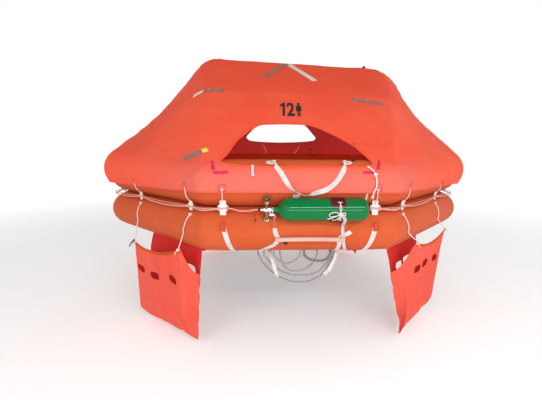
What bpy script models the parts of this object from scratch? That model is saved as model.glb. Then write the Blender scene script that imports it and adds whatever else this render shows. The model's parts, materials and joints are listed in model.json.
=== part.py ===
"""An inflatable life raft: two stacked octagonal tubes, a floor, a canopy on one arch, and its gear.

Metres, +Z up. The origin is at the waterline, in the middle of the ring. The entrance faces -Y.
"""

import math

import bmesh
import bpy
from mathutils import Vector

# Driving dimensions
ACROSS_FLATS = 2.90
TUBE_DIAMETER = 0.29
DRAFT = 0.05
SIDES = 8
GAP = 0.0003
SEAM_GAP = 0.0006
FABRIC = 0.005
TUBE_SEGMENTS = 24

TUBE_RADIUS = TUBE_DIAMETER / 2
APOTHEM = ACROSS_FLATS / 2 - TUBE_RADIUS
TUBE_SPACING = 0.985 * TUBE_DIAMETER
LOWER_Z = TUBE_RADIUS - DRAFT
UPPER_Z = LOWER_Z + TUBE_SPACING
JOINT_Z = (LOWER_Z + UPPER_Z) / 2
MEETING_FLAT = TUBE_SPACING / 2 - GAP / 2
CORNER = math.pi / SIDES

# Floor
FLOOR_TOP_Z = 0.015

# Arch that holds the canopy up: its centre line from the left foot to the right, as x, z and bend radius
ARCH_RADIUS = 0.10
ARCH_PATH = (
    (-1.31, 0.42, 0.0),
    (-1.14, 0.80, 0.30),
    (-0.69, 1.33, 0.14),
    (0.96, 1.26, 0.26),
    (1.19, 0.87, 0.30),
    (1.29, 0.42, 0.0),
)

# Canopy: where its ruled columns leave the arch, as fractions of the arch's length
CANOPY_WRAP = ARCH_RADIUS + FABRIC - 0.0005
ARCH_STOPS_LEFT = ((0, 0.095), (0.125, 0.13), (0.34, 0.2815), (0.41, 0.320), (0.5, 0.5))
ARCH_STOPS_RIGHT = ((0, 0.10), (0.125, 0.14), (0.34, 0.214), (0.41, 0.284), (0.5, 0.5))
CANOPY_COLUMNS = (
    0, 0.0625, 0.125, 0.18, 0.235, 0.29, 0.34, 0.354, 0.368, 0.382, 0.396, 0.41, 0.455, 0.5,
)
ROOF_SHARE = 0.42
SHOULDER_ANGLE = math.radians(56)
SKIRT_RADIUS = 0.1565
SKIRT_END_EXTRA = 0.0135
SKIRT_END_SHOULDER_EXTRA = 0.052
HEM_ANGLE_FRONT = math.radians(-17)
HEM_ANGLE_END = math.radians(-24)

# Openings in the canopy, as x and z seen from the front
ENTRANCE = (
    (-0.46, 0.505), (-0.44, 0.56), (-0.37, 0.66), (-0.27, 0.735), (-0.20, 0.757), (0.04, 0.76),
    (0.16, 0.735), (0.33, 0.64), (0.40, 0.57), (0.43, 0.495), (0.20, 0.487), (-0.20, 0.487),
)
REAR_OPENING = (
    (-0.30, 0.685), (-0.39, 0.72), (-0.385, 0.76), (-0.30, 0.84), (-0.20, 0.93), (-0.08, 0.965),
    (0.12, 0.97), (0.25, 0.94), (0.36, 0.87), (0.47, 0.78), (0.52, 0.73), (0.45, 0.69), (0.06, 0.67),
)
OPENING_CUT = (0.62, 1.8)

# Gas cylinder, nestled in the groove between the tubes
CYLINDER_RADIUS = 0.068
CYLINDER_LEFT = -0.16
CYLINDER_RIGHT = 0.395
CYLINDER_DOME = 0.035
CYLINDER_SHOULDER = (
    (0, 0), (0, 0.016), (0.028, 0.016), (0.036, 0.031), (0.050, 0.051), (0.072, CYLINDER_RADIUS),
)
CRADLE_X = (0.168, 0.258)
CRADLE_ARC = (math.radians(24), math.radians(130))
CRADLE_THICKNESS = 0.003

# Its valve: distances along the cylinder or the outlets, and radii
VALVE_X = -0.200
VALVE_TIP = -0.250
VALVE_PROFILE = (
    (CYLINDER_LEFT - GAP, 0), (CYLINDER_LEFT - GAP, 0.014), (-0.178, 0.014), (-0.178, 0.019),
    (-0.219, 0.019), (-0.219, 0.0065), (VALVE_TIP, 0.0065), (VALVE_TIP, 0),
)
OUTLET_RISE = 0.040
OUTLET_PROFILE = (
    (-0.050, 0), (-0.050, 0.015), (-0.028, 0.015), (-0.028, 0.010),
    (0.029, 0.010), (0.029, 0.019), (0.054, 0.019), (0.054, 0),
)
INLET_RADIUS = 0.009
INLET_FLANGE = (0.026, 0.006, 0.004)

# Ballast pockets, each measured along its side (t, towards the front or the rear) and outwards (n)
POCKETS = (
    ("ballast_pocket_front_left", -135, -1),
    ("ballast_pocket_front_right", -45, -1),
    ("ballast_pocket_rear_left", 135, 1),
    ("ballast_pocket_rear_right", 45, 1),
)
POCKET_WALL = 0.006
POCKET_T = (-0.17, 0.43)
POCKET_TOP_N = (1.300, 1.455)
POCKET_BOTTOM_N = (1.310, 1.425)
POCKET_OUTER_TOP_Z = -0.10
POCKET_OUTER_BOTTOM_Z = -0.60
POCKET_BACK_BOTTOM_Z = -0.74
POCKET_CORDS = ((-0.157, -0.16), (0.477, 0.42))
POCKET_CORD_ARC = (math.radians(38), math.radians(-12))
HOLE_SIZE = (0.065, 0.035)
HOLE_SIDES = 8
HOLE_SPACING = 0.19
OUTER_HOLES = (0.10, -0.28, (1.42, 1.47))
BACK_HOLES = (0.16, -0.24, (1.28, 1.33))

# Lines and webbing
ROPE_RADIUS = 0.005
THIN_ROPE_RADIUS = 0.004
PATCH_SIZE = (0.066, 0.090, 0.006)
PATCH_N = APOTHEM + math.sqrt(TUBE_RADIUS**2 - (TUBE_SPACING / 2 - PATCH_SIZE[1] / 2) ** 2) + GAP
ROPE_N = PATCH_N + PATCH_SIZE[2] + 0.003
WEBBING = (0.030, 0.003)

# Grab lines: their patches, as sides counted from the front and places along them
GRAB_FRONT = 0.46
GRAB_SAG = 0.06
MOST_SAG = 0.03
LEVEL_END = 0.01
GRAB_STEP = 0.13
GRAB_STOPS = (
    (0, GRAB_FRONT), (1, -0.477), (1, 0.157), (2, -0.40),
    (2, 0.40), (3, -0.157), (3, 0.477), (4, -GRAB_FRONT),
)
GRAB_LAST = (4, GRAB_FRONT - PATCH_SIZE[0] / 2 - GAP)

# Boarding rung and the straps round the lower tube, as x and degrees above the tube's middle
RUNG_RADIUS = 0.0135
RUNG_X = (-0.150, 0.262)
RUNG_ANGLE = -13
RUNG_EDGE = 0.002
RUNG_STRAPS = (
    ("rung_strap_left", (
        (-0.152, 26), (-0.148, 0), (-0.132, -14), (-0.150, -32), (-0.205, -50), (-0.250, -68),
    )),
    ("rung_strap_right", (
        (0.335, 14), (0.300, 0), (0.240, -14), (0.245, -32), (0.243, -50), (0.238, -68),
    )),
)
RIGHTING_STRAPS = (("righting_strap_left", -0.462, -0.385), ("righting_strap_right", 0.462, 0.40))
RIGHTING_TOP = 22
RIGHTING_STEPS = 18

# Straps and cords over the skirt, as x and degrees above the upper tube's middle
ENTRANCE_STRAP = (
    (-0.158, 62), (-0.150, 48), (-0.120, 28), (-0.065, -4), (-0.010, -16), (0.050, -19),
    (0.140, -10), (0.200, 6), (0.245, 28), (0.262, 46), (0.270, 62),
)
SILL_CORD = ((0.400, 44), (0.436, 28), (0.446, 3), (0.432, -16), (0.428, -26))

# Lines that hang under the lower tube at the entrance: the facet they leave, and their x and z
FACET = (math.pi + 2 * math.asin(MEETING_FLAT / TUBE_RADIUS)) / TUBE_SEGMENTS
HANGING_START = 0.018
HANGING_LINES = (
    ("hanging_line_1", -90 - math.degrees(FACET) / 2, (
        (-0.250, -0.072), (-0.245, -0.095), (-0.210, -0.155), (-0.135, -0.228), (-0.045, -0.272),
        (0.035, -0.282), (0.105, -0.270), (0.180, -0.222), (0.220, -0.155), (0.247, -0.095), (0.252, -0.072),
    )),
    ("hanging_line_2", -90 + math.degrees(FACET) / 2, (
        (-0.212, -0.072), (-0.205, -0.092), (-0.135, -0.165), (-0.045, -0.212),
        (0.070, -0.218), (0.150, -0.187), (0.212, -0.110), (0.226, -0.072),
    )),
    ("hanging_line_3", -90 + math.degrees(FACET) / 2, (
        (-0.110, -0.072), (-0.105, -0.092), (-0.085, -0.150), (-0.030, -0.190),
        (0.040, -0.182), (0.090, -0.150), (0.125, -0.095), (0.130, -0.072),
    )),
    ("hanging_line_4", -90 + math.degrees(FACET) * 1.5, (
        (-0.150, -0.062), (-0.142, -0.082), (-0.105, -0.114), (-0.070, -0.126), (-0.030, -0.115),
        (0.010, -0.080), (0.016, -0.062),
    )),
    ("hanging_line_5", -90 + math.degrees(FACET) * 1.5, (
        (0.040, -0.062), (0.046, -0.075), (0.075, -0.098), (0.135, -0.110), (0.180, -0.100),
        (0.202, -0.075), (0.206, -0.062),
    )),
)

# Small fittings: the top-up valves by x, degrees and tube, the ridge lamp and the tow patch
TOPUP_VALVES = (("topup_valve_lower", -0.085, -27, LOWER_Z), ("topup_valve_upper", 0.335, 76, UPPER_Z))
TOPUP_PROFILE = ((-0.006, 0), (-0.006, 0.013), (0.006, 0.013), (0.008, 0.011), (0.008, 0))
LAMP_X = 0.78
LAMP_PROFILE = ((0, 0), (0, 0.018), (0.008, 0.018), (0.018, 0.012), (0.022, 0))
TOW_PATCH = (0.12, 0.10, 0.006)
CUTTER_SIDES = 96


def clear_scene():
    for thing in list(bpy.data.objects):
        bpy.data.objects.remove(thing)


def material(name, colour, roughness, metallic=0.0):
    made = bpy.data.materials.new(name)
    made.use_nodes = True
    shader = made.node_tree.nodes["Principled BSDF"]
    shader.inputs["Base Color"].default_value = (*colour, 1)
    shader.inputs["Roughness"].default_value = roughness
    shader.inputs["Metallic"].default_value = metallic
    return made


def add(name, bm, look=None, smooth_under=35):
    """Links the bmesh as an object of triangles, shaded smooth but for its sharp edges."""
    bmesh.ops.recalc_face_normals(bm, faces=bm.faces)
    bmesh.ops.triangulate(bm, faces=bm.faces)
    mesh = bpy.data.meshes.new(name)
    bm.to_mesh(mesh)
    bm.free()
    mesh.shade_smooth()
    mesh.set_sharp_from_angle(angle=math.radians(smooth_under))
    made = bpy.data.objects.new(name, mesh)
    bpy.context.scene.collection.objects.link(made)
    if look:
        mesh.materials.append(look)
    return made


def as_cutter(thing):
    thing.hide_render = True
    thing.display_type = "WIRE"
    return thing


def boolean(thing, other, operation="DIFFERENCE"):
    made = thing.modifiers.new(operation.title(), "BOOLEAN")
    made.operation = operation
    made.object = other


def closed_loop(bm, points):
    """A loop of edges through the points."""
    verts = [bm.verts.new(point) for point in points]
    return verts + [bm.edges.new((verts[i - 1], verts[i])) for i in range(len(verts))]


def bridge(bm, rings, capped=True):
    """Faces between rings of vertices, each as long as the next, with its two ends filled."""
    for low, high in zip(rings, rings[1:]):
        for i in range(len(low)):
            bm.faces.new((low[i - 1], low[i], high[i], high[i - 1]))
    if capped:
        bm.faces.new(rings[0])
        bm.faces.new(rings[-1])


def arc(radius, first, last, steps):
    """Points (outwards, up) on an arc, from one angle to another."""
    angles = [first + (last - first) * i / steps for i in range(steps + 1)]
    return [(radius * math.cos(a), radius * math.sin(a)) for a in angles]


def mitre_point(outwards, up):
    """A point of a side's cross section, carried to the mitre plane at the side's end."""
    far = outwards / math.cos(CORNER)
    return (far * math.cos(CORNER), far * math.sin(CORNER), up)


def octagon_ring(section):
    """A closed section swept round the octagon, mitred at its corners."""
    bm = bmesh.new()
    geometry = closed_loop(bm, [mitre_point(*point) for point in section])
    bmesh.ops.spin(bm, geom=geometry, cent=(0, 0, 0), axis=(0, 0, 1), angle=math.tau, steps=SIDES)
    bmesh.ops.remove_doubles(bm, verts=bm.verts, dist=1e-5)
    return bm


def tube_section(centre_z, flat_at):
    """A tube's section, flattened where it meets the other, above (flat_at > 0) or below it."""
    half = math.asin(abs(flat_at) / TUBE_RADIUS)
    if flat_at > 0:
        round_part = arc(TUBE_RADIUS, half, -math.pi - half, TUBE_SEGMENTS)
    else:
        round_part = arc(TUBE_RADIUS, -half, math.pi + half, TUBE_SEGMENTS)
    return [(APOTHEM + out, centre_z + up) for out, up in round_part]


def build_tubes(orange):
    lower = octagon_ring(tube_section(LOWER_Z, MEETING_FLAT))
    add("lower_buoyancy_tube", lower, orange)
    upper = octagon_ring(tube_section(UPPER_Z, -MEETING_FLAT))
    add("upper_buoyancy_tube", upper, orange)


def grown_section(centre_z, flat_at):
    """A tube's section, grown by the gap that the pieces resting on it keep."""
    growth = 1 + GAP / (TUBE_RADIUS * math.cos(math.pi / TUBE_SEGMENTS))
    section = tube_section(centre_z, flat_at)
    return [(APOTHEM + (out - APOTHEM) * growth, centre_z + (up - centre_z) * growth) for out, up in section]


def build_floor(floor_look):
    """The floor's edge follows the lower tube's inner side, facet by facet, up to the floor's top."""
    inner = [point for point in grown_section(LOWER_Z, MEETING_FLAT) if point[0] < APOTHEM - 0.01]
    edge = [point for point in inner if point[1] < FLOOR_TOP_Z]
    (low_out, low_z), (high_out, high_z) = edge[-1], inner[len(edge)]
    share = (FLOOR_TOP_Z - low_z) / (high_z - low_z)
    edge.append((low_out + (high_out - low_out) * share, FLOOR_TOP_Z))
    section = [(0, edge[0][1])] + edge + [(0, FLOOR_TOP_Z)]
    bm = bmesh.new()
    verts = [bm.verts.new(mitre_point(*point)) for point in section]
    edges = [bm.edges.new(pair) for pair in zip(verts, verts[1:])]
    bmesh.ops.spin(bm, geom=verts + edges, cent=(0, 0, 0), axis=(0, 0, 1), angle=math.tau, steps=SIDES)
    bmesh.ops.remove_doubles(bm, verts=bm.verts, dist=1e-5)
    add("raft_floor", bm, floor_look)


def rounded_path(corners):
    """The corners, given as x, z and bend radius, joined by straight runs and arcs."""
    points = [Vector(corners[0][:2])]
    for before, here, after in zip(corners, corners[1:], corners[2:]):
        corner = Vector(here[:2])
        back = (Vector(before[:2]) - corner).normalized()
        on = (Vector(after[:2]) - corner).normalized()
        half = back.angle(on) / 2
        reach = here[2] / math.tan(half)
        middle = corner + (back + on).normalized() * here[2] / math.sin(half)
        start = corner + back * reach - middle
        end = corner + on * reach - middle
        turn = start.angle(end)
        steps = max(3, round(turn / math.radians(11)))
        for i in range(steps + 1):
            share = i / steps
            spoke = (start * math.sin((1 - share) * turn) + end * math.sin(share * turn)) / math.sin(turn)
            points.append(middle + spoke)
    points.append(Vector(corners[-1][:2]))
    lengths = [0.0]
    for a, b in zip(points, points[1:]):
        lengths.append(lengths[-1] + (b - a).length)
    return points, lengths


def along(path, distance):
    """The point and the direction of travel at a distance along a path."""
    points, lengths = path
    for i in range(1, len(points)):
        if distance <= lengths[i] or i == len(points) - 1:
            share = (distance - lengths[i - 1]) / (lengths[i] - lengths[i - 1])
            here = points[i - 1].lerp(points[i], share)
            return here, (points[i] - points[i - 1]).normalized()


def sweep(points, radius, sides=8):
    """A round tube through points in space, with flat ends."""
    points = [Vector(point) for point in points]
    bm = bmesh.new()
    rings = []
    across = None
    for i, point in enumerate(points):
        tangent = (points[min(i + 1, len(points) - 1)] - points[max(i - 1, 0)]).normalized()
        if across is None:
            across = tangent.orthogonal().normalized()
        across = (across - tangent * across.dot(tangent)).normalized()
        other = tangent.cross(across)
        turns = [math.tau * k / sides for k in range(sides)]
        ring = [point + radius * (math.cos(a) * across + math.sin(a) * other) for a in turns]
        rings.append([bm.verts.new(co) for co in ring])
    bridge(bm, rings)
    return bm


def build_arch(path, orange, ring_cutter):
    points = [(p.x, 0, p.y) for p in path[0]]
    arch = add("canopy_arch_tube", sweep(points, ARCH_RADIUS, 16), orange)
    boolean(arch, ring_cutter)
    return as_cutter(add("arch_cutter", sweep(points, ARCH_RADIUS + GAP, 16)))


def octagon_point(share):
    """A point on the front half of an octagon of apothem 1, from its left middle (0) to its right (1)."""
    corner = math.tan(CORNER)
    outline = [(-1, 0), (-1, -corner), (-corner, -1), (corner, -1), (1, -corner), (1, 0)]
    lengths = [0, 0.125, 0.375, 0.625, 0.875, 1]
    for i in range(5):
        if share <= lengths[i + 1]:
            part = (share - lengths[i]) / (lengths[i + 1] - lengths[i])
            return Vector(outline[i]).lerp(Vector(outline[i + 1]), part)


def arch_share(share):
    """Where on the arch, as a share of its length, the fabric of a place on the octagon hangs."""
    folded = min(share, 1 - share)
    stops = ARCH_STOPS_LEFT if share <= 0.5 else ARCH_STOPS_RIGHT
    for (low, a), (high, b) in zip(stops, stops[1:]):
        if folded <= high:
            found = a + (b - a) * (folded - low) / (high - low)
            return found if share <= 0.5 else 1 - found


def end_share(share):
    """1 at the raft's two ends, 0 along its front."""
    folded = min(share, 1 - share)
    return min(1.0, max(0.0, (0.375 - folded) / 0.25))


def skirt_point(share, angle):
    """A point of the skirt round the upper tube, at an angle above the tube's middle."""
    at_end = end_share(share)
    up_share = (angle - HEM_ANGLE_END) / (SHOULDER_ANGLE - HEM_ANGLE_END)
    radius = SKIRT_RADIUS + at_end * (SKIRT_END_EXTRA + SKIRT_END_SHOULDER_EXTRA * max(0.0, up_share))
    flat = octagon_point(share) * (APOTHEM + radius * math.cos(angle))
    return Vector((flat.x, flat.y, UPPER_Z + radius * math.sin(angle)))


def canopy_column(path, share, slope_shares, skirt_count):
    """One column of the canopy: round the arch, straight to the shoulder, and down the skirt."""
    shoulder = skirt_point(share, SHOULDER_ANGLE)
    here, run = along(path, arch_share(share) * path[1][-1])
    centre = Vector((here.x, 0, here.y))
    outwards = Vector((-run.y, 0, run.x))
    reach = shoulder - centre
    away = Vector((reach.dot(outwards), -reach.y))
    lean = math.atan2(away.y, away.x) - math.acos(CANOPY_WRAP / away.length)
    lean = max(0.0, lean)
    column = []
    for part in (0, 0.5, 1):
        turn = lean * part
        column.append(centre + CANOPY_WRAP * (outwards * math.cos(turn) - Vector((0, math.sin(turn), 0))))
    contact = column[-1]
    column += [contact.lerp(shoulder, part) for part in slope_shares]
    hem = HEM_ANGLE_FRONT + (HEM_ANGLE_END - HEM_ANGLE_FRONT) * end_share(share)
    angles = [SHOULDER_ANGLE + (hem - SHOULDER_ANGLE) * k / skirt_count for k in range(skirt_count + 1)]
    column += [skirt_point(share, angle) for angle in angles]
    return column


def fall_of(column, j):
    """The way down a column at one of its points, past any points that coincide."""
    above = column[max(j - 1, 0)]
    for below in column[j + 1 :]:
        if (below - above).length > 1e-6:
            return below - above
    return column[j] - above


def grid_normals(grid):
    """Outward normals of a grid of points. Those of its edges on the plane y = 0 lie in that plane."""
    normals = []
    last = len(grid) - 1
    for i, column in enumerate(grid):
        row = []
        for j in range(len(column)):
            run = grid[min(i + 1, last)][j] - grid[max(i - 1, 0)][j]
            fall = fall_of(column, j)
            normal = fall.cross(run)
            if i in (0, last):
                normal = Vector((fall.z, 0, -fall.x)) * (-1 if i else 1)
            elif j == 0:
                normal.y = 0
            row.append(normal.normalized())
        normals.append(row)
    return normals


def panel(outer, inner, rear=False, open_sides=False):
    """A shell between two grids. With open_sides it has no rims on its sides and first row."""
    bm = bmesh.new()
    flip = -1 if rear else 1
    layers = []
    for grid in (outer, inner):
        layers.append([[bm.verts.new((p.x, flip * p.y, p.z)) for p in column] for column in grid])
    columns, rows = len(outer), len(outer[0])
    for layer in layers:
        for i in range(columns - 1):
            for j in range(rows - 1):
                bm.faces.new((layer[i][j], layer[i][j + 1], layer[i + 1][j + 1], layer[i + 1][j]))
    skin, lining = layers
    for i in range(columns - 1):
        for j in (rows - 1,) if open_sides else (0, rows - 1):
            bm.faces.new((skin[i][j], skin[i + 1][j], lining[i + 1][j], lining[i][j]))
    if not open_sides:
        for i in (0, columns - 1):
            for j in range(rows - 1):
                bm.faces.new((skin[i][j], skin[i][j + 1], lining[i][j + 1], lining[i][j]))
    return bm


def prism(outline, near, far):
    """An outline in x and z, extruded along y."""
    bm = bmesh.new()
    rings = [[bm.verts.new((x, y, z)) for x, z in outline] for y in (near, far)]
    bridge(bm, rings)
    return bm


def build_canopy(path, red, arch_cutter, ring_cutter):
    shares = list(CANOPY_COLUMNS) + [1 - share for share in reversed(CANOPY_COLUMNS[:-1])]
    roof_slopes = [0.2, ROOF_SHARE - 0.0004]
    wall_slopes = [ROOF_SHARE, 0.7]
    grids = [canopy_column(path, share, roof_slopes + wall_slopes, 5) for share in shares]
    normals = grid_normals(grids)
    lining = [
        [point - normal * FABRIC for point, normal in zip(column, across)]
        for column, across in zip(grids, normals)
    ]
    roof_rows = 3 + len(roof_slopes)
    build_roof(grids, lining, roof_rows, red, arch_cutter)
    for name, rear, opening in (("canopy_front", False, ENTRANCE), ("canopy_rear", True, REAR_OPENING)):
        outer = [column[roof_rows:] for column in grids]
        inner = [column[roof_rows:] for column in lining]
        for grid in (outer, inner):
            for i in (0, -1):
                grid[i] = [Vector((p.x, -SEAM_GAP / 2, p.z)) for p in grid[i]]
        wall = add(name, panel(outer, inner, rear), red)
        near, far = (reach if rear else -reach for reach in OPENING_CUT)
        cutter = as_cutter(add(name + "_cutter", prism(opening, near, far)))
        boolean(wall, cutter)
        boolean(wall, ring_cutter)


def build_roof(grids, lining, rows, red, arch_cutter):
    outer = [column[:rows] for column in grids]
    inner = [column[:rows] for column in lining]
    whole = bmesh.new()
    for rear in (False, True):
        half = panel(outer, inner, rear, open_sides=True)
        mesh = bpy.data.meshes.new("half_roof")
        half.to_mesh(mesh)
        half.free()
        whole.from_mesh(mesh)
        bpy.data.meshes.remove(mesh)
    bmesh.ops.remove_doubles(whole, verts=whole.verts, dist=1e-5)
    roof = add("canopy_roof", whole, red)
    boolean(roof, arch_cutter)


def cylinder_axis():
    """The gas cylinder's centre line (y, z), where it touches both tubes."""
    between = CYLINDER_RADIUS + TUBE_RADIUS + GAP
    out = math.sqrt(between**2 - (TUBE_SPACING / 2) ** 2)
    return -(APOTHEM + out), JOINT_Z


def turned(profile, axis_point, axis, across, steps=20):
    """A profile of (along the axis, radius) turned round an axis. Its ends lie on the axis."""
    bm = bmesh.new()
    axis, across = Vector(axis), Vector(across)
    verts = [bm.verts.new(Vector(axis_point) + axis * x + across * r) for x, r in profile]
    edges = [bm.edges.new(pair) for pair in zip(verts, verts[1:])]
    bmesh.ops.spin(
        bm, geom=verts + edges, cent=axis_point, axis=axis, angle=math.tau, steps=steps
    )
    bmesh.ops.remove_doubles(bm, verts=bm.verts, dist=1e-5)
    return bm


def build_cylinder(green):
    y, z = cylinder_axis()
    profile = [(CYLINDER_LEFT + x, radius) for x, radius in CYLINDER_SHOULDER]
    for radius, x in arc(1, 0, math.pi / 2, 6)[:-1]:
        profile.append((CYLINDER_RIGHT - CYLINDER_DOME * (1 - x), CYLINDER_RADIUS * radius))
    profile.append((CYLINDER_RIGHT, 0))
    add("gas_cylinder", turned(profile, (0, y, z), (1, 0, 0), (0, 0, 1)), green)


def build_valve(brass, chrome):
    y, z = cylinder_axis()
    valve = add("cylinder_valve", turned(VALVE_PROFILE, (0, y, z), (1, 0, 0), (0, 0, 1), 16), chrome)
    body = turned(OUTLET_PROFILE, (VALVE_X, y, z), (0, 0, 1), (1, 0, 0), 16)
    boolean(valve, as_cutter(add("outlet_body", body)), "UNION")
    with_gap = [(x + math.copysign(GAP, x), r + GAP if r else 0) for x, r in OUTLET_PROFILE]
    flange, above, below = INLET_FLANGE
    for name, tube_z, side in (("inlet_valve_upper", UPPER_Z, 1), ("inlet_valve_lower", LOWER_Z, -1)):
        start = Vector((VALVE_X, y, z + side * OUTLET_RISE))
        centre = Vector((VALVE_X, -APOTHEM, tube_z))
        way = (centre - start).normalized()
        seat = (centre - start).length - TUBE_RADIUS
        profile = [(0, 0), (0, INLET_RADIUS), (seat - above, INLET_RADIUS), (seat - above, flange)]
        profile += [(seat + below, flange), (seat + below, 0)]
        inlet = add(name, turned(profile, start, way, (1, 0, 0), 16), brass)
        boolean(inlet, front_tube_cutter(name, tube_z))
        grown = turned(with_gap, (VALVE_X, y, z), (0, 0, 1), (1, 0, 0), 16)
        boolean(inlet, as_cutter(add(name + "_seat", grown)))


def tube_cutter(name, centre, way):
    """A round bar along a side of a tube, as thick as the tube with its gap."""
    radius = (TUBE_RADIUS + GAP) / math.cos(math.pi / CUTTER_SIDES)
    reach = APOTHEM / 2
    profile = [(-reach, 0), (-reach, radius), (reach, radius), (reach, 0)]
    return as_cutter(add(name + "_tube", turned(profile, centre, way, (0, 0, 1), CUTTER_SIDES)))


def front_tube_cutter(name, tube_z):
    return tube_cutter(name, (0, -APOTHEM, tube_z), (1, 0, 0))


def build_cradle(maroon):
    """Two patches that hold the cylinder, each from a tube round the cylinder's face."""
    y, z = cylinder_axis()
    inner = arc(CYLINDER_RADIUS + GAP, *CRADLE_ARC, 12)
    outer = arc(CYLINDER_RADIUS + GAP + CRADLE_THICKNESS, *CRADLE_ARC, 12)
    section = [(-out, up) for out, up in inner + outer[::-1]]
    for name, side, tube_z in (("cradle_patch_upper", 1, UPPER_Z), ("cradle_patch_lower", -1, LOWER_Z)):
        bm = bmesh.new()
        rings = []
        for x in CRADLE_X:
            rings.append([bm.verts.new((x, y + out, z + side * up)) for out, up in section])
        bridge(bm, rings)
        boolean(add(name, bm, maroon), front_tube_cutter(name, tube_z))


def on_tube(x, degrees, radius, tube_z, side=-1):
    """A point over a tube's front (side -1) or rear, by x and the angle above the tube's middle."""
    turn = math.radians(degrees)
    return Vector((x, side * (APOTHEM + radius * math.cos(turn)), tube_z + radius * math.sin(turn)))


def over_tube(route, radius, tube_z, steps):
    """A smooth run over a tube's front through places given as x and degrees."""
    places = smooth([(x, degrees, 0) for x, degrees in route], steps)
    return [on_tube(place.x, place.y, radius, tube_z) for place in places]


def radial(point, tube_z):
    side = math.copysign(1, point.y)
    return Vector((0, point.y - side * APOTHEM, point.z - tube_z)).normalized()


def smooth(points, steps):
    """A smooth curve through the points, each span in as many steps."""
    points = [Vector(point) for point in points]
    ends = [2 * points[0] - points[1]] + points + [2 * points[-1] - points[-2]]
    made = []
    for a, b, c, d in zip(ends, ends[1:], ends[2:], ends[3:]):
        square = 2 * a - 5 * b + 4 * c - d
        cube = 3 * b - a - 3 * c + d
        for i in range(steps):
            t = i / steps
            made.append(0.5 * (2 * b + (c - a) * t + square * t**2 + cube * t**3))
    return made + [points[-1]]


def ribbon(points, normals, width=WEBBING[0], thickness=WEBBING[1]):
    """Flat webbing along points, lying across the normals."""
    bm = bmesh.new()
    rings = []
    last = len(points) - 1
    for i, (point, normal) in enumerate(zip(points, normals)):
        run = (points[min(i + 1, last)] - points[max(i - 1, 0)]).normalized()
        side = run.cross(normal).normalized() * width / 2
        up = side.cross(run).normalized() * thickness / 2
        corners = (point + side + up, point - side + up, point - side - up, point + side - up)
        rings.append([bm.verts.new(co) for co in corners])
    bridge(bm, rings)
    return bm


def rope(name, points, radius, look, steps):
    """A rope as a bevelled curve through the points."""
    curve = bpy.data.curves.new(name, "CURVE")
    curve.dimensions = "3D"
    curve.bevel_depth = radius
    curve.bevel_resolution = 2
    curve.use_fill_caps = True
    spline = curve.splines.new("POLY")
    path = smooth(points, steps)
    spline.points.add(len(path) - 1)
    for place, co in zip(spline.points, path):
        place.co = (*co, 1)
    curve.materials.append(look)
    made = bpy.data.objects.new(name, curve)
    bpy.context.scene.collection.objects.link(made)
    return made


def on_side(angle, towards, t, n, z):
    """A point at a side of the octagon: t along it towards the front (-1) or rear (1), n outwards."""
    out = Vector((math.cos(angle), math.sin(angle), 0))
    on = Vector((-out.y, out.x, 0))
    if on.y * towards < 0:
        on = -on
    place = out * n + on * t
    return Vector((place.x, place.y, z))


def build_pocket(name, angle, towards, coral, cord_look):
    wall = POCKET_WALL
    top = -DRAFT - GAP
    back, face = POCKET_TOP_N
    low_back, low_face = POCKET_BOTTOM_N
    outside = [(back, top), (face, POCKET_OUTER_TOP_Z), (low_face, POCKET_OUTER_BOTTOM_Z)]
    outside += [(low_back, POCKET_BACK_BOTTOM_Z)]
    inside = [(back + wall, top), (face - wall, POCKET_OUTER_TOP_Z)]
    inside += [(low_face - wall, POCKET_OUTER_BOTTOM_Z + wall)]
    inside += [(low_back + wall, POCKET_BACK_BOTTOM_Z + 2 * wall)]
    bm = bmesh.new()
    shells = []
    for outline, inset in ((outside, 0), (inside, wall)):
        ends = (POCKET_T[0] + inset, POCKET_T[1] - inset)
        shells.append(
            [[bm.verts.new(on_side(angle, towards, t, n, z)) for n, z in outline] for t in ends]
        )
    for first, second in shells:
        for i in (1, 2, 3):
            j = (i + 1) % 4
            bm.faces.new((first[i], first[j], second[j], second[i]))
        bm.faces.new(first)
        bm.faces.new(second)
    skin, lining = shells
    rim = [skin[0][0], skin[0][1], skin[1][1], skin[1][0]]
    inner_rim = [lining[0][0], lining[0][1], lining[1][1], lining[1][0]]
    for i in range(4):
        bm.faces.new((rim[i - 1], rim[i], inner_rim[i], inner_rim[i - 1]))
    pocket = add(name, bm, coral)
    boolean(pocket, pocket_holes(name, angle, towards))
    radius = TUBE_RADIUS + THIN_ROPE_RADIUS + 2 * GAP
    over = arc(radius, *POCKET_CORD_ARC, 7)
    rim_n = face - wall / 2
    rim_z = POCKET_OUTER_TOP_Z
    middle_z = (LOWER_Z + over[-1][1] + rim_z) / 2
    for k, (upper_t, lower_t) in enumerate(POCKET_CORDS):
        route = []
        for step, (out, up) in enumerate(over):
            t = upper_t + (lower_t - upper_t) * step / 10
            route.append(on_side(angle, towards, t, APOTHEM + out, LOWER_Z + up))
        for n, z in ((rim_n + 0.0008, middle_z), (rim_n, rim_z + 0.012), (rim_n, rim_z + GAP)):
            route.append(on_side(angle, towards, lower_t, n, z))
        rope(f"{name}_cord_{k + 1}", route, THIN_ROPE_RADIUS, cord_look, 1)


def pocket_holes(name, angle, towards):
    """The drain holes' cutter: a row through the outer panel and a row through the back panel."""
    bm = bmesh.new()
    for middle, height, reach in (OUTER_HOLES, BACK_HOLES):
        for k in (-1, 0, 1):
            rings = []
            for n in reach:
                ring = []
                for wide, high in arc(1, 0, math.tau, HOLE_SIDES)[:-1]:
                    t = middle + k * HOLE_SPACING + wide * HOLE_SIZE[0]
                    spot = on_side(angle, towards, t, n, height + high * HOLE_SIZE[1])
                    ring.append(bm.verts.new(spot))
                rings.append(ring)
            bridge(bm, rings)
    return as_cutter(add(name + "_holes", bm))


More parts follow.
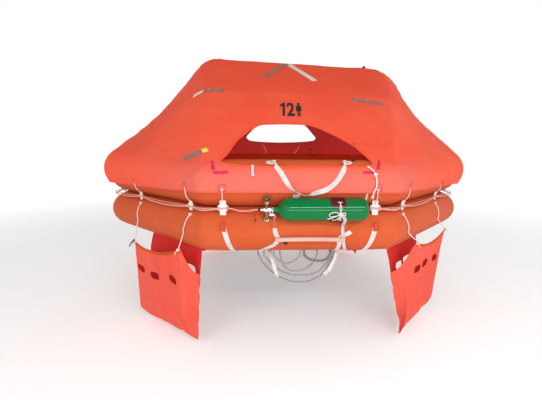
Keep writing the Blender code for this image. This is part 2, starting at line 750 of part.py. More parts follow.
def ring_place(flip, side, t, n, z):
    """A point at a side counted from the front: clockwise from above, or the other way with flip -1."""
    angle = -math.pi / 2 - side * math.pi / 4
    out = Vector((math.cos(angle), math.sin(angle), 0))
    on = Vector((out.y, -out.x, 0))
    spot = out * n + on * t
    return Vector((flip * spot.x, spot.y, z))


def grab_spots(first, last, half):
    """Distances round the ring at which the rope has a point, one of them at each corner."""
    count = round((last - first) / GRAB_STEP)
    spots = {round(first + (last - first) * i / count, 6) for i in range(count + 1)}
    for side in range(1, SIDES):
        corner = round(2 * half * side - half, 6)
        if first < corner < last:
            spots = {spot for spot in spots if abs(spot - corner) > GRAB_STEP / 3} | {corner}
    return sorted(spots | {last - LEVEL_END})


def grab_sag(spot, knots):
    """How far the rope hangs down at a distance round the ring."""
    for low, high in zip(knots, knots[1:]):
        if low <= spot <= high:
            share = (spot - low - LEVEL_END) / (high - low - 2 * LEVEL_END)
            share = min(1.0, max(0.0, share))
            return min(GRAB_SAG * (high - low), MOST_SAG) * 4 * share * (1 - share)
    return 0.0


def build_grab_line(name, flip, last_stop, white):
    """A rope in the groove between the tubes, held by its patches."""
    half = ROPE_N * math.tan(CORNER)
    distances = [2 * half * side + t for side, t in GRAB_STOPS]
    last = 2 * half * last_stop[0] + last_stop[1]
    knots = distances + ([last] if last > distances[-1] else [])
    route = []
    for spot in grab_spots(distances[0] - PATCH_SIZE[0] / 2 + LEVEL_END, last, half):
        side = min(SIDES - 1, int((spot + half) // (2 * half)))
        height = JOINT_Z - grab_sag(spot, knots)
        route.append(ring_place(flip, side, spot - 2 * half * side, ROPE_N, height))
    line = add(name, sweep(route, ROPE_RADIUS, 6), white)
    bm = bmesh.new()
    wide, tall, thick = PATCH_SIZE
    for side, t in GRAB_STOPS:
        rings = []
        for n in (PATCH_N, PATCH_N + thick):
            ring = []
            for a, b in ((-1, -1), (1, -1), (1, 1), (-1, 1)):
                spot = ring_place(flip, side, t + a * wide / 2, n, JOINT_Z + b * tall / 2)
                ring.append(bm.verts.new(spot))
            rings.append(ring)
        bridge(bm, rings)
    boolean(line, as_cutter(add(name + "_patches", bm)), "UNION")


def build_lines(white):
    """The firing line, the entrance strap and the cord at its right, and the lines that hang below."""
    y, z = cylinder_axis()
    start_x = -GRAB_FRONT + PATCH_SIZE[0] / 2 + 2 * GAP
    route = [(start_x, -ROPE_N, JOINT_Z), (start_x + 0.008, -ROPE_N, JOINT_Z)]
    route += [(-0.40, -ROPE_N, JOINT_Z - 0.004), (-0.36, -ROPE_N - 0.006, JOINT_Z - 0.014)]
    route += [(-0.32, -ROPE_N - 0.018, JOINT_Z - 0.012), (-0.285, y, z - 0.004)]
    route += [(VALVE_TIP - 0.012, y, z), (VALVE_TIP - GAP, y, z)]
    rope("firing_line", route, ROPE_RADIUS, white, 2)
    strap_radius = SKIRT_RADIUS + GAP + WEBBING[1] / 2 + 0.0005
    points = over_tube(ENTRANCE_STRAP, strap_radius, UPPER_Z, 4)
    add("entrance_strap", ribbon(points, [radial(p, UPPER_Z) for p in points]), white)
    cord_radius = SKIRT_RADIUS + THIN_ROPE_RADIUS + 2 * GAP
    rope("sill_cord", over_tube(SILL_CORD, cord_radius, UPPER_Z, 3), THIN_ROPE_RADIUS, white, 1)
    for name, degrees, run in HANGING_LINES:
        rope(name, hanging_route(degrees, run), THIN_ROPE_RADIUS, white, 3)


def hanging_route(degrees, run):
    """A slack line that leaves the lower tube square to one facet and comes back to it."""
    surface = TUBE_RADIUS * math.cos(FACET / 2)
    radii = [surface + rise for rise in (GAP, HANGING_START / 2, HANGING_START)]
    left = [on_tube(run[0][0], degrees, radius, LOWER_Z) for radius in radii]
    right = [on_tube(run[-1][0], degrees, radius, LOWER_Z) for radius in reversed(radii)]
    return left + [Vector((x, left[-1].y, z)) for x, z in run[1:-1]] + right


def build_boarding(white):
    """The rung below the cylinder and the two straps that hold it, and the straps under the floor."""
    strap_radius = TUBE_RADIUS + 2 * GAP + WEBBING[1] / 2
    for name, route in RUNG_STRAPS:
        points = over_tube(route, strap_radius, LOWER_Z, 5)
        add(name, ribbon(points, [radial(p, LOWER_Z) for p in points]), white)
    rung_out = strap_radius + WEBBING[1] / 2 + 2 * GAP + RUNG_RADIUS
    centre = on_tube(0, RUNG_ANGLE, rung_out, LOWER_Z)
    left, right = RUNG_X
    profile = [(left, 0), (left, RUNG_RADIUS - RUNG_EDGE), (left + RUNG_EDGE, RUNG_RADIUS)]
    profile += [(right - RUNG_EDGE, RUNG_RADIUS), (right, RUNG_RADIUS - RUNG_EDGE), (right, 0)]
    add("boarding_rung", turned(profile, centre, (1, 0, 0), (0, 0, 1), 16), white)
    for name, top_x, low_x in RIGHTING_STRAPS:
        points, normals = [], []
        for side in (-1, 1):
            leg = []
            for k in range(RIGHTING_STEPS + 1):
                degrees = RIGHTING_TOP - (RIGHTING_TOP + 90) * k / RIGHTING_STEPS
                x = top_x + (low_x - top_x) * k / RIGHTING_STEPS
                point = on_tube(x, degrees, strap_radius, LOWER_Z, side)
                leg.append((point, radial(point, LOWER_Z)))
            if side > 0:
                leg.reverse()
            points += [point for point, _ in leg]
            normals += [normal for _, normal in leg]
        add(name, ribbon(points, normals), white)


def build_fittings(path, black, brass, orange):
    """Two top-up valves, the ridge lamp and the tow patch."""
    for name, x, degrees, tube_z in TOPUP_VALVES:
        way = radial(on_tube(x, degrees, 1, tube_z), tube_z)
        profile = [(TUBE_RADIUS + rise, radius) for rise, radius in TOPUP_PROFILE]
        valve = add(name, turned(profile, (x, -APOTHEM, tube_z), way, (1, 0, 0), 16), black)
        boolean(valve, front_tube_cutter(name, tube_z))
    reach = next(d for d in path[1][1:] if along(path, d)[0].x > LAMP_X - 0.4)
    here, run = along(path, reach)
    spot = here + run * ((LAMP_X - here.x) / run.x)
    outwards = Vector((-run.y, 0, run.x))
    base = Vector((spot.x, 0, spot.y)) + outwards * (CANOPY_WRAP + GAP)
    add("canopy_lamp", turned(LAMP_PROFILE, base, outwards, (0, 1, 0), 16), black)
    wide, tall, thick = TOW_PATCH
    out = -(APOTHEM + TUBE_RADIUS)
    bm = bmesh.new()
    rings = []
    for x in (out + TUBE_RADIUS / 7, out - thick):
        corners = ((-1, -1), (1, -1), (1, 1), (-1, 1))
        rings.append([bm.verts.new((x, a * wide / 2, LOWER_Z + b * tall / 2)) for a, b in corners])
    bridge(bm, rings)
    patch = add("tow_patch", bm, orange)
    boolean(patch, tube_cutter("tow_patch", (-APOTHEM, 0, LOWER_Z), (0, 1, 0)))


def main():
    clear_scene()
    orange = material("tube_orange", (0.80, 0.22, 0.05), 0.55)
    red = material("canopy_red", (0.90, 0.13, 0.06), 0.6)
    coral = material("pocket_coral", (0.88, 0.16, 0.09), 0.65)
    floor_look = material("floor_rubber", (0.10, 0.10, 0.11), 0.7)
    green = material("cylinder_green", (0.01, 0.30, 0.06), 0.15)
    brass = material("brass", (0.60, 0.42, 0.16), 0.35, 1.0)
    chrome = material("chrome", (0.75, 0.75, 0.75), 0.15, 1.0)
    maroon = material("strap_maroon", (0.09, 0.01, 0.02), 0.7)
    white = material("webbing_white", (0.80, 0.76, 0.72), 0.8)
    black = material("black_plastic", (0.02, 0.02, 0.02), 0.5)
    build_tubes(orange)
    build_floor(floor_look)
    ring_cutter = as_cutter(add("ring_cutter", octagon_ring(grown_section(UPPER_Z, -MEETING_FLAT))))
    path = rounded_path(ARCH_PATH)
    arch_cutter = build_arch(path, orange, ring_cutter)
    build_canopy(path, red, arch_cutter, ring_cutter)
    build_cylinder(green)
    build_valve(brass, chrome)
    build_cradle(maroon)
    for name, degrees, towards in POCKETS:
        build_pocket(name, math.radians(degrees), towards, coral, white)
    build_grab_line("grab_line_left", 1, GRAB_STOPS[-1], white)
    build_grab_line("grab_line_right", -1, GRAB_LAST, white)
    build_lines(white)
    build_boarding(white)
    build_fittings(path, black, brass, orange)


main()
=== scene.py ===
import json
import math

import bmesh
import bpy
from mathutils import Matrix, Vector, noise
from mathutils.bvhtree import BVHTree

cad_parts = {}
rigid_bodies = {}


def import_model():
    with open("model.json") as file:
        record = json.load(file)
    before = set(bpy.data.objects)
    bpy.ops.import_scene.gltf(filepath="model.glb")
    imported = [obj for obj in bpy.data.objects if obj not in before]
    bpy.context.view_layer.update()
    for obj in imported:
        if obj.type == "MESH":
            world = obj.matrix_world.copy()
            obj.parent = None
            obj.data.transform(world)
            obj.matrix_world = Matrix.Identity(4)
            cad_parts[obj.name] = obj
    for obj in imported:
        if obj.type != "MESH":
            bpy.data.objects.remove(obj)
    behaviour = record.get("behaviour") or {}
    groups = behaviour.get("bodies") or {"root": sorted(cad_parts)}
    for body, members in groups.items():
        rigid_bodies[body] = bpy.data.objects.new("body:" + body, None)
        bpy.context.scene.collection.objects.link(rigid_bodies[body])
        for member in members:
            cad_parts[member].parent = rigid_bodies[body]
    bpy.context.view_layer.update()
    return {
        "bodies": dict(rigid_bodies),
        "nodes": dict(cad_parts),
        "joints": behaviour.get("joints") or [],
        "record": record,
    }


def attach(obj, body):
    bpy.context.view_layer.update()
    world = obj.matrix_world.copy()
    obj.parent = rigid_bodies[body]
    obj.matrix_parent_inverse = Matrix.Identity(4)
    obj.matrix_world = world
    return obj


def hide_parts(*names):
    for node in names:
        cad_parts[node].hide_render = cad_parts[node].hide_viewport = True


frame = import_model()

print("frame loaded:", len(frame["nodes"]), "nodes")

# The ring's own sizes, as in the model: metres, the origin at the waterline
raft = {
    "acrossFlats": 2.90,
    "tubeDiameter": 0.29,
    "spacing": 0.985,       # of the tube's diameter, where the two press together
    "draft": 0.05,
    "gap": 0.0003,
}
tubeRadius = raft["tubeDiameter"] / 2
apothem = raft["acrossFlats"] / 2 - tubeRadius
lowerZ = tubeRadius - raft["draft"]
upperZ = lowerZ + raft["spacing"] * raft["tubeDiameter"]
jointZ = (lowerZ + upperZ) / 2
corner = math.pi / 8
pressed = raft["spacing"] * raft["tubeDiameter"] / 2 - raft["gap"] / 2
facet = (math.pi + 2 * math.asin(pressed / tubeRadius)) / 24


# Camera, as the photograph was taken
lens = {"place": (-0.261, -3.412, 0.589), "yaw": 2.511, "pitch": -8.579, "roll": 0.418, "focal": 337.99, "wide": 542}


def cameraAxes():
    yaw, pitch, roll = (math.radians(lens[key]) for key in ("yaw", "pitch", "roll"))
    ahead = Vector((math.sin(yaw) * math.cos(pitch), math.cos(yaw) * math.cos(pitch), math.sin(pitch)))
    right = Vector((math.cos(yaw), -math.sin(yaw), 0))
    up = right.cross(ahead)
    return right * math.cos(roll) + up * math.sin(roll), up * math.cos(roll) - right * math.sin(roll), ahead


def makeCamera():
    right, up, ahead = cameraAxes()
    data = bpy.data.cameras.new("photoCamera")
    data.sensor_width = 36
    data.lens = lens["focal"] * data.sensor_width / lens["wide"]
    camera = bpy.data.objects.new("photoCamera", data)
    camera.matrix_world = Matrix.Translation(lens["place"]) @ Matrix((right, up, -ahead)).transposed().to_4x4()
    bpy.context.scene.collection.objects.link(camera)
    bpy.context.scene.camera = camera


def sightLine(px, py):
    # the way in which a point of the photograph lies, seen from the camera
    right, up, ahead = cameraAxes()
    return (ahead * lens["focal"] + right * (px - 271) + up * (200 - py)).normalized()


makeCamera()
print("camera placed")

# Materials: arithmetic on a Tone adds the Math nodes that it stands for
class Tone:
    def __init__(self, finish, socket):
        self.finish, self.socket = finish, socket

    def math(self, operation, *others):
        return self.finish.node("ShaderNodeMath", {"operation": operation}, dict(enumerate((self, *others))))

    def __add__(self, other):
        return self.math("ADD", other)

    def __sub__(self, other):
        return self.math("SUBTRACT", other)

    def __rsub__(self, other):
        return self.finish.node("ShaderNodeMath", {"operation": "SUBTRACT"}, {0: other, 1: self})

    def __mul__(self, other):
        return self.math("MULTIPLY", other)

    def __truediv__(self, other):
        return self.math("DIVIDE", other)

    def __pow__(self, other):
        return self.math("POWER", other)

    __radd__ = __add__
    __rmul__ = __mul__


class Finish:
    def __init__(self, name, colour, roughness, metallic=0.0, coat=0.0):
        self.made = bpy.data.materials.new(name)
        self.made.use_nodes = True
        self.tree = self.made.node_tree
        self.shader = self.tree.nodes["Principled BSDF"]
        self.put("Base Color", (*colour, 1))
        self.put("Roughness", roughness)
        self.put("Metallic", metallic)
        self.put("Coat Weight", coat)

    # the one way to make a node: its settings first, then the values or links of its sockets
    def node(self, kind, settings=None, values=None, output=0):
        made = self.tree.nodes.new(kind)
        for key, value in (settings or {}).items():
            setattr(made, key, value)
        for key, value in (values or {}).items():
            if isinstance(value, Tone):
                self.tree.links.new(value.socket, made.inputs[key])
            else:
                made.inputs[key].default_value = value
        return Tone(self, made.outputs[output])

    def put(self, socket, value):
        if isinstance(value, Tone):
            self.tree.links.new(value.socket, self.shader.inputs[socket])
        else:
            self.shader.inputs[socket].default_value = value

    def where(self):
        return self.node("ShaderNodeTexCoord", output="Object")

    def kept(self, name):
        # a number kept on the mesh's points
        return self.node("ShaderNodeAttribute", {"attribute_name": name}, output="Fac")

    def scaled(self, place, scale):
        return self.node("ShaderNodeMapping", {}, {"Vector": place, "Scale": scale})

    def axis(self, place, name):
        return self.node("ShaderNodeSeparateXYZ", {}, {"Vector": place}, name)

    def noise(self, place, scale, detail=3.0, rough=0.55):
        return self.node("ShaderNodeTexNoise", {}, {"Vector": place, "Scale": scale, "Detail": detail, "Roughness": rough})

    def cells(self, place, scale):
        return self.node("ShaderNodeTexVoronoi", {"feature": "DISTANCE_TO_EDGE"}, {"Vector": place, "Scale": scale}, "Distance")

    def steps(self, value, low, high, first=0.0, last=1.0):
        values = {"Value": value, "From Min": low, "From Max": high, "To Min": first, "To Max": last}
        return self.node("ShaderNodeMapRange", {"interpolation_type": "SMOOTHSTEP"}, values)

    def mix(self, share, first, second):
        values = {0: share, 6: first, 7: second}
        for key in (6, 7):
            if isinstance(values[key], tuple):
                values[key] = (*values[key], 1)
        return self.node("ShaderNodeMix", {"data_type": "RGBA"}, values, 2)

    def bump(self, height, distance, strength=1.0, under=None):
        values = {"Height": height, "Distance": distance, "Strength": strength}
        if under:
            values["Normal"] = under
        return self.node("ShaderNodeBump", {}, values)


clothLooks = {
    "canopy": {"colour": (0.80, 0.088, 0.042), "faded": (0.84, 0.114, 0.060), "rough": 0.55, "weave": 0.0034, "crease": 0.020},
    "lining": {"colour": (0.36, 0.012, 0.010), "faded": (0.42, 0.018, 0.014), "rough": 0.65, "weave": 0.0034, "crease": 0.012},
    "pocket": {"colour": (0.76, 0.094, 0.062), "faded": (0.80, 0.125, 0.088), "rough": 0.60, "weave": 0.0030, "crease": 0.022},
    "pocketInside": {"colour": (0.50, 0.020, 0.018), "faded": (0.58, 0.032, 0.028), "rough": 0.65, "weave": 0.0030, "crease": 0.02},
    "tube": {"colour": (0.54, 0.088, 0.028), "faded": (0.60, 0.115, 0.044), "rough": 0.48, "weave": 0.0024, "crease": 0.006},
    "binding": {"colour": (0.52, 0.075, 0.020), "faded": (0.60, 0.11, 0.035), "rough": 0.75, "weave": 0.0022, "crease": 0.006},
    "floor": {"colour": (0.040, 0.040, 0.044), "faded": (0.070, 0.068, 0.066), "rough": 0.70, "weave": 0.0040, "crease": 0.010},
    "whitePatch": {"colour": (0.74, 0.71, 0.70), "faded": (0.62, 0.57, 0.55), "rough": 0.75, "weave": 0.0020, "crease": 0.004},
    "maroon": {"colour": (0.060, 0.006, 0.010), "faded": (0.11, 0.018, 0.022), "rough": 0.60, "weave": 0.0020, "crease": 0.004},
    "rungCloth": {"colour": (0.64, 0.34, 0.29), "faded": (0.72, 0.46, 0.40), "rough": 0.70, "weave": 0.0022, "crease": 0.004},
    "corner": {"colour": (0.62, 0.018, 0.075), "faded": (0.70, 0.05, 0.12), "rough": 0.50, "weave": 0.0020, "crease": 0.004},
}


def coatedCloth(name):
    look = clothLooks[name]
    finish = Finish(name + "Cloth", look["colour"], look["rough"])
    finish.put("Specular IOR Level", 0.03)
    place = finish.where()
    clouds = finish.noise(place, 2.2, 4)
    rubs = finish.noise(finish.scaled(place, (1, 1, 2.5)), 14, 5, 0.65)
    fade = finish.steps(clouds, 0.35, 0.7) * 0.6 + finish.steps(rubs, 0.55, 0.8) * 0.4
    base = finish.mix(fade, look["colour"], look["faded"])
    if name == "canopy":  # painted shade darkens the cloth over the arch; a painted highlight makes it paler and pinker where it is pulled over the tube's middle
        down = finish.kept("down")
        # painted shade: the roof, above the seam, is darker
        base = finish.mix(finish.steps(down, 0.375, 0.385, 0.40, 0.0), base, (0.75, 0.067, 0.028))
        # painted highlight on the skirt, strongest near the middle and fading towards the ends
        middle = finish.steps(finish.axis(place, "X").math("ABSOLUTE"), 0.45, 1.25, 0.75, 0.10)
        base = finish.mix(finish.steps(down, 0.72, 0.93) * middle, base, (0.60, 0.148, 0.116))
    finish.put("Base Color", base)
    finish.put("Roughness", look["rough"] - 0.06 + rubs * 0.14)
    soft = finish.bump(finish.noise(finish.scaled(place, (1, 1, 1.6)), 7, 5, 0.6), look["crease"], 0.4)
    fine = finish.bump(rubs, look["crease"] / 8, 0.4, soft)
    threads = [finish.axis(place, axis) * (math.tau / look["weave"]) for axis in "XYZ"]
    waves = [thread.math("SINE") for thread in threads]
    weave = waves[0] * waves[1] + waves[1] * waves[2] + waves[0] * waves[2]
    finish.put("Normal", finish.bump(weave, 0.00025, 0.25, fine))
    if name in ("lining", "pocketInside"):  # painted light: the lining and the pockets' insides glow, standing in for daylight through the cloth
        finish.put("Emission Color", finish.mix(fade, (0.34, 0.022, 0.019), (0.38, 0.028, 0.024)))
        finish.put("Emission Strength", 0.78 if name == "lining" else 0.40)
    return finish.made


def plainFinish(name, colour, roughness, metallic=0.0, coat=0.0, marks=0.12, size=60.0, shine=0.5):
    # a moulded, painted or plated finish, with faint handling marks
    finish = Finish(name, colour, roughness, metallic, coat)
    finish.put("Specular IOR Level", shine)
    scuffs = finish.noise(finish.where(), size, 5, 0.7)
    worn = tuple(min(1.0, channel * 1.25 + 0.02) for channel in colour)
    finish.put("Base Color", finish.mix(finish.steps(scuffs, 0.58, 0.8) * marks * 3, colour, worn))
    finish.put("Roughness", roughness + (scuffs - 0.5) * marks)
    finish.put("Normal", finish.bump(scuffs, 0.0003, 0.15))
    return finish.made


def wovenWebbing(name, colour, shade, pitch=0.0026, glow=0.0):
    # flat webbing: ribs across its run, soiled in places, on the piece's own map
    finish = Finish(name, colour, 0.85)
    along = finish.node("ShaderNodeUVMap", {"uv_map": "weave"})
    around, run = finish.axis(along, "X"), finish.axis(along, "Y")
    ribs = (run * (math.tau / pitch)).math("SINE") * (around * 90.0).math("SINE")
    soil = finish.noise(finish.where(), 22, 4)
    finish.put("Base Color", finish.mix(finish.steps(soil, 0.4, 0.75) * 0.8 + ribs * 0.1, colour, shade))
    finish.put("Normal", finish.bump(ribs + soil * 0.8, 0.0005, 0.6))
    if glow:  # painted light: the webbing glows, as it lies on cloth that daylight comes through
        finish.put("Emission Color", (*shade, 1))
        finish.put("Emission Strength", glow)
    return finish.made


def laidRope(name, colour, shade, strands=3, lay=0.024):
    # the strands wind round the rope on the piece's own map
    finish = Finish(name, colour, 0.8)
    along = finish.node("ShaderNodeUVMap", {"uv_map": "weave"})
    around, run = finish.axis(along, "X"), finish.axis(along, "Y")
    strand = (((around * strands + run / lay) * math.tau).math("SINE") * 0.5 + 0.5) ** 0.5
    soil = finish.noise(finish.where(), 18, 4)
    # painted shade darkens the grooves between the strands; soil darkens the rope in places
    finish.put("Base Color", finish.mix(strand * (1 - finish.steps(soil, 0.5, 0.8) * 0.4), shade, colour))
    finish.put("Normal", finish.bump(strand, 0.0012, 0.8))
    return finish.made


def reflectiveTape(name):
    # grey-brown tape with a fine cell pattern, and painted glints: its colour is made pale in places
    finish = Finish(name, (0.34, 0.16, 0.12), 0.46, 0.30)
    place = finish.where()
    cells = finish.steps(finish.cells(place, 260), 0.0, 0.12)
    glints = finish.steps(finish.noise(place, 34, 3, 0.7), 0.60, 0.70)
    base = finish.mix(cells, (0.26, 0.11, 0.085), (0.37, 0.17, 0.125))
    finish.put("Base Color", finish.mix(glints * 0.65, base, (0.92, 0.86, 0.70)))
    finish.put("Roughness", 0.46 - glints * 0.2)
    finish.put("Normal", finish.bump(cells, 0.0003, 0.5))
    return finish.made


looks = {name: coatedCloth(name) for name in clothLooks}
looks.update({
    "webbing": wovenWebbing("whiteWebbing", (0.67, 0.62, 0.60), (0.50, 0.44, 0.42)),
    # webbing for the inside ribbons, with a painted glow
    "litWebbing": wovenWebbing("litWebbing", (0.60, 0.30, 0.28), (0.46, 0.11, 0.10), glow=0.7),
    "darkWebbing": wovenWebbing("darkWebbing", (0.19, 0.15, 0.155), (0.11, 0.085, 0.09)),
    "greyWebbing": wovenWebbing("greyWebbing", (0.58, 0.55, 0.55), (0.40, 0.36, 0.36)),
    "rope": laidRope("whiteRope", (0.86, 0.78, 0.74), (0.56, 0.44, 0.40)),
    "pinkRope": laidRope("pinkRope", (0.74, 0.40, 0.34), (0.50, 0.16, 0.11)),
    "greyRope": laidRope("greyRope", (0.40, 0.38, 0.38), (0.12, 0.10, 0.11)),
    "green": plainFinish("greenEnamel", (0.0, 0.150, 0.036), 0.08, coat=0.25, marks=0.01, shine=0.10),
    "chrome": plainFinish("chromePlate", (0.78, 0.77, 0.76), 0.16, 1.0, marks=0.06),
    "brass": plainFinish("bareBrass", (0.34, 0.19, 0.095), 0.36, 1.0, marks=0.2),
    "black": plainFinish("blackRubber", (0.014, 0.012, 0.013), 0.5, marks=0.2),
    "ink": plainFinish("blackInk", (0.008, 0.006, 0.006), 0.55, marks=0.1),
    "stitch": plainFinish("redStitch", (0.42, 0.012, 0.022), 0.7, marks=0.2),
    "tape": reflectiveTape("reflectiveTape"),
    # painted highlights: a pale tape and a yellow glint stand in for light caught by the reflective tape
    "litTape": plainFinish("litTape", (0.66, 0.62, 0.50), 0.40, marks=0.4, size=34.0),
    "glint": plainFinish("yellowGlint", (0.80, 0.66, 0.10), 0.40, marks=0.3, size=40.0),
})
print("materials made:", len(looks))

# Making pieces
def finishPiece(name, bm, look, replacing=(), sharp=40.0, turn=True):
    if turn:
        bmesh.ops.recalc_face_normals(bm, faces=bm.faces)
    mesh = bpy.data.meshes.new(name)
    bm.to_mesh(mesh)
    bm.free()
    mesh.shade_smooth()
    mesh.set_sharp_from_angle(angle=math.radians(sharp))
    for each in look if isinstance(look, tuple) else (look,):
        mesh.materials.append(looks[each])
    piece = bpy.data.objects.new(name, mesh)
    bpy.context.scene.collection.objects.link(piece)
    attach(piece, "root")
    if replacing:
        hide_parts(*replacing)
    return piece


def settle(piece):
    # the modifiers become part of the mesh
    graph = bpy.context.evaluated_depsgraph_get()
    mesh = bpy.data.meshes.new_from_object(piece.evaluated_get(graph), depsgraph=graph)
    piece.modifiers.clear()
    old = piece.data
    piece.data = mesh
    bpy.data.meshes.remove(old)


def thicken(piece, thickness, inside, offset=-1):
    thick = piece.modifiers.new("thickness", "SOLIDIFY")
    thick.thickness = thickness
    thick.offset = offset
    thick.use_even_offset = True
    thick.material_offset = inside
    settle(piece)


def addInto(bm, other):
    mesh = bpy.data.meshes.new("joined")
    other.to_mesh(mesh)
    other.free()
    bm.from_mesh(mesh)
    bpy.data.meshes.remove(mesh)


def smoothRun(points, steps, closed=False):
    points = [Vector(point) for point in points]
    if closed:
        ends = [points[-1]] + points + points[:2]
    else:
        ends = [2 * points[0] - points[1]] + points + [2 * points[-1] - points[-2]]
    run = []
    for a, b, c, d in zip(ends, ends[1:], ends[2:], ends[3:]):
        square = 2 * a - 5 * b + 4 * c - d
        cube = 3 * b - a - 3 * c + d
        for i in range(steps):
            t = i / steps
            run.append(0.5 * (2 * b + (c - a) * t + square * t**2 + cube * t**3))
    return run if closed else run + [points[-1]]


def runLength(points):
    return sum((b - a).length for a, b in zip(points, points[1:]))


def spread(points, spacing):
    # the same run with its points evenly spaced
    lengths = [0.0]
    for a, b in zip(points, points[1:]):
        lengths.append(lengths[-1] + (b - a).length)
    count = max(2, round(lengths[-1] / spacing))
    run, i = [], 1
    for k in range(count + 1):
        wanted = lengths[-1] * k / count
        while i < len(points) - 1 and lengths[i] < wanted:
            i += 1
        share = (wanted - lengths[i - 1]) / max(1e-9, lengths[i] - lengths[i - 1])
        run.append(points[i - 1].lerp(points[i], min(1.0, max(0.0, share))))
    return run


def framesAlong(points, normals=None):
    # one placing matrix for each point, turned as little as can be or square to the given normals
    frames, across = [], None
    last = len(points) - 1
    for i, point in enumerate(points):
        ahead = (points[min(i + 1, last)] - points[max(i - 1, 0)]).normalized()
        if normals:
            across = ahead.cross(normals[i])
        elif across is None:
            across = ahead.orthogonal()
        across = (across - ahead * across.dot(ahead)).normalized()
        frames.append(Matrix.Translation(point) @ Matrix((across, across.cross(ahead), ahead)).transposed().to_4x4())
    return frames


def sweep(section, frames):
    # a closed section extruded from frame to frame, mapped round (u) and along in metres (v)
    bm = bmesh.new()
    along = bm.verts.layers.float.new("along")
    around = bm.verts.layers.float.new("around")
    verts = [bm.verts.new((x, y, 0)) for x, y in section]
    for k, vert in enumerate(verts):
        vert[around] = k / len(section)
    edges = [bm.edges.new((verts[k - 1], verts[k])) for k in range(len(verts))]
    bmesh.ops.transform(bm, matrix=frames[0], verts=verts)
    bmesh.ops.contextual_create(bm, geom=edges)
    gone = 0.0
    for before, here in zip(frames, frames[1:]):
        made = bmesh.ops.extrude_edge_only(bm, edges=edges)["geom"]
        verts = [each for each in made if isinstance(each, bmesh.types.BMVert)]
        edges = [each for each in made if isinstance(each, bmesh.types.BMEdge)]
        bmesh.ops.transform(bm, matrix=here @ before.inverted(), verts=verts)
        gone += (here.translation - before.translation).length
        for vert in verts:
            vert[along] = gone
    bmesh.ops.contextual_create(bm, geom=edges)
    uv = bm.loops.layers.uv.new("weave")
    for face in bm.faces:
        turns = [loop.vert[around] for loop in face.loops]
        split = max(turns) - min(turns) > 0.5
        for loop, turn in zip(face.loops, turns):
            loop[uv].uv = (turn + 1 if split and turn < 0.5 else turn, loop.vert[along])
    return bm


def circle(radius, sides=10):
    return [(radius * math.cos(math.tau * k / sides), radius * math.sin(math.tau * k / sides)) for k in range(sides)]


def bandSection(width, thickness, across=6):
    # a flat band with round edges
    top = [(width * (k / across - 0.5) * 0.94, thickness / 2) for k in range(across + 1)]
    return top + [(width / 2, 0)] + [(-x, -y) for x, y in top] + [(-width / 2, 0)]


def ropePiece(name, points, radius, look="rope", replacing=(), sides=10):
    return finishPiece(name, sweep(circle(radius, sides), framesAlong(points)), look, replacing)


def bandPiece(name, points, normals, width, thickness=0.0024, look="webbing", replacing=()):
    bm = sweep(bandSection(width, thickness), framesAlong(points, normals))
    return finishPiece(name, bm, look, replacing, 50)


def axesAt(place, across, over):
    # a placing matrix with x across, z out of the surface and y between them
    across = across.normalized()
    over = (over - across * over.dot(across)).normalized()
    return Matrix.Translation(place) @ Matrix((across, over.cross(across), over)).transposed().to_4x4()


def addPad(bm, placing, size, soft=0.0012):
    # a thin block with softened edges
    made = bmesh.new()
    bmesh.ops.create_cube(made, size=1)
    bmesh.ops.scale(made, vec=size, verts=made.verts)
    uprights = [edge for edge in made.edges if abs(edge.verts[0].co.z - edge.verts[1].co.z) > size[2] / 2]
    bmesh.ops.bevel(
        made, geom=uprights, offset=min(size[:2]) / 6, offset_type="OFFSET", segments=3, profile=0.5,
        affect="EDGES", material=-1,
    )
    rims = [edge for edge in made.edges if abs(edge.verts[0].co.z - edge.verts[1].co.z) < 1e-6]
    bmesh.ops.bevel(
        made, geom=rims, offset=min(soft, size[2] / 3), offset_type="OFFSET", segments=2, profile=0.5,
        affect="EDGES", material=-1,
    )
    bmesh.ops.transform(made, matrix=placing, verts=made.verts)
    addInto(bm, made)


def addKnot(bm, centre, size, cordRadius, turn=0.0):
    # an overhand knot, drawn tight
    points = []
    for k in range(49):
        a = math.tau * k / 48
        x, y, z = math.sin(a) + 2 * math.sin(2 * a), math.cos(a) - 2 * math.cos(2 * a), -math.sin(3 * a)
        spot = Matrix.Rotation(turn, 3, "Z") @ Vector((x, z * 1.2, y))
        points.append(Vector(centre) + spot * size / 3)
    addInto(bm, sweep(circle(cordRadius, 8), framesAlong(points)))


def turnedShape(profile, centre, way, across, steps=40):
    # a profile of distances along an axis and radii, turned round it
    bm = bmesh.new()
    way, across = Vector(way).normalized(), Vector(across)
    across = (across - way * across.dot(way)).normalized()
    verts = [bm.verts.new(Vector(centre) + way * along + across * radius) for along, radius in profile]
    edges = [bm.edges.new(pair) for pair in zip(verts, verts[1:])]
    bmesh.ops.spin(bm, geom=verts + edges, cent=centre, axis=way, angle=math.tau, steps=steps, use_merge=True)
    bmesh.ops.remove_doubles(bm, verts=bm.verts, dist=1e-5)
    return bm


def gridSheet(columns, rows, place):
    # a grid whose points a rule moves from the unit square into place
    bm = bmesh.new()
    bmesh.ops.create_grid(bm, x_segments=columns, y_segments=rows, size=0.5)
    for vert in bm.verts:
        vert.co = place(vert.co.x + 0.5, vert.co.y + 0.5)
    return bm


def onTube(x, degrees, radius, tubeZ, side=-1):
    turn = math.radians(degrees)
    return Vector((x, side * (apothem + radius * math.cos(turn)), tubeZ + radius * math.sin(turn)))


def offTube(point, tubeZ):
    side = math.copysign(1, point.y)
    return Vector((0, point.y - side * apothem, point.z - tubeZ)).normalized()


def overTube(route, radius, tubeZ, steps=6):
    places = smoothRun([(x, degrees, 0) for x, degrees in route], steps)
    return [onTube(place.x, place.y, radius, tubeZ) for place in places]


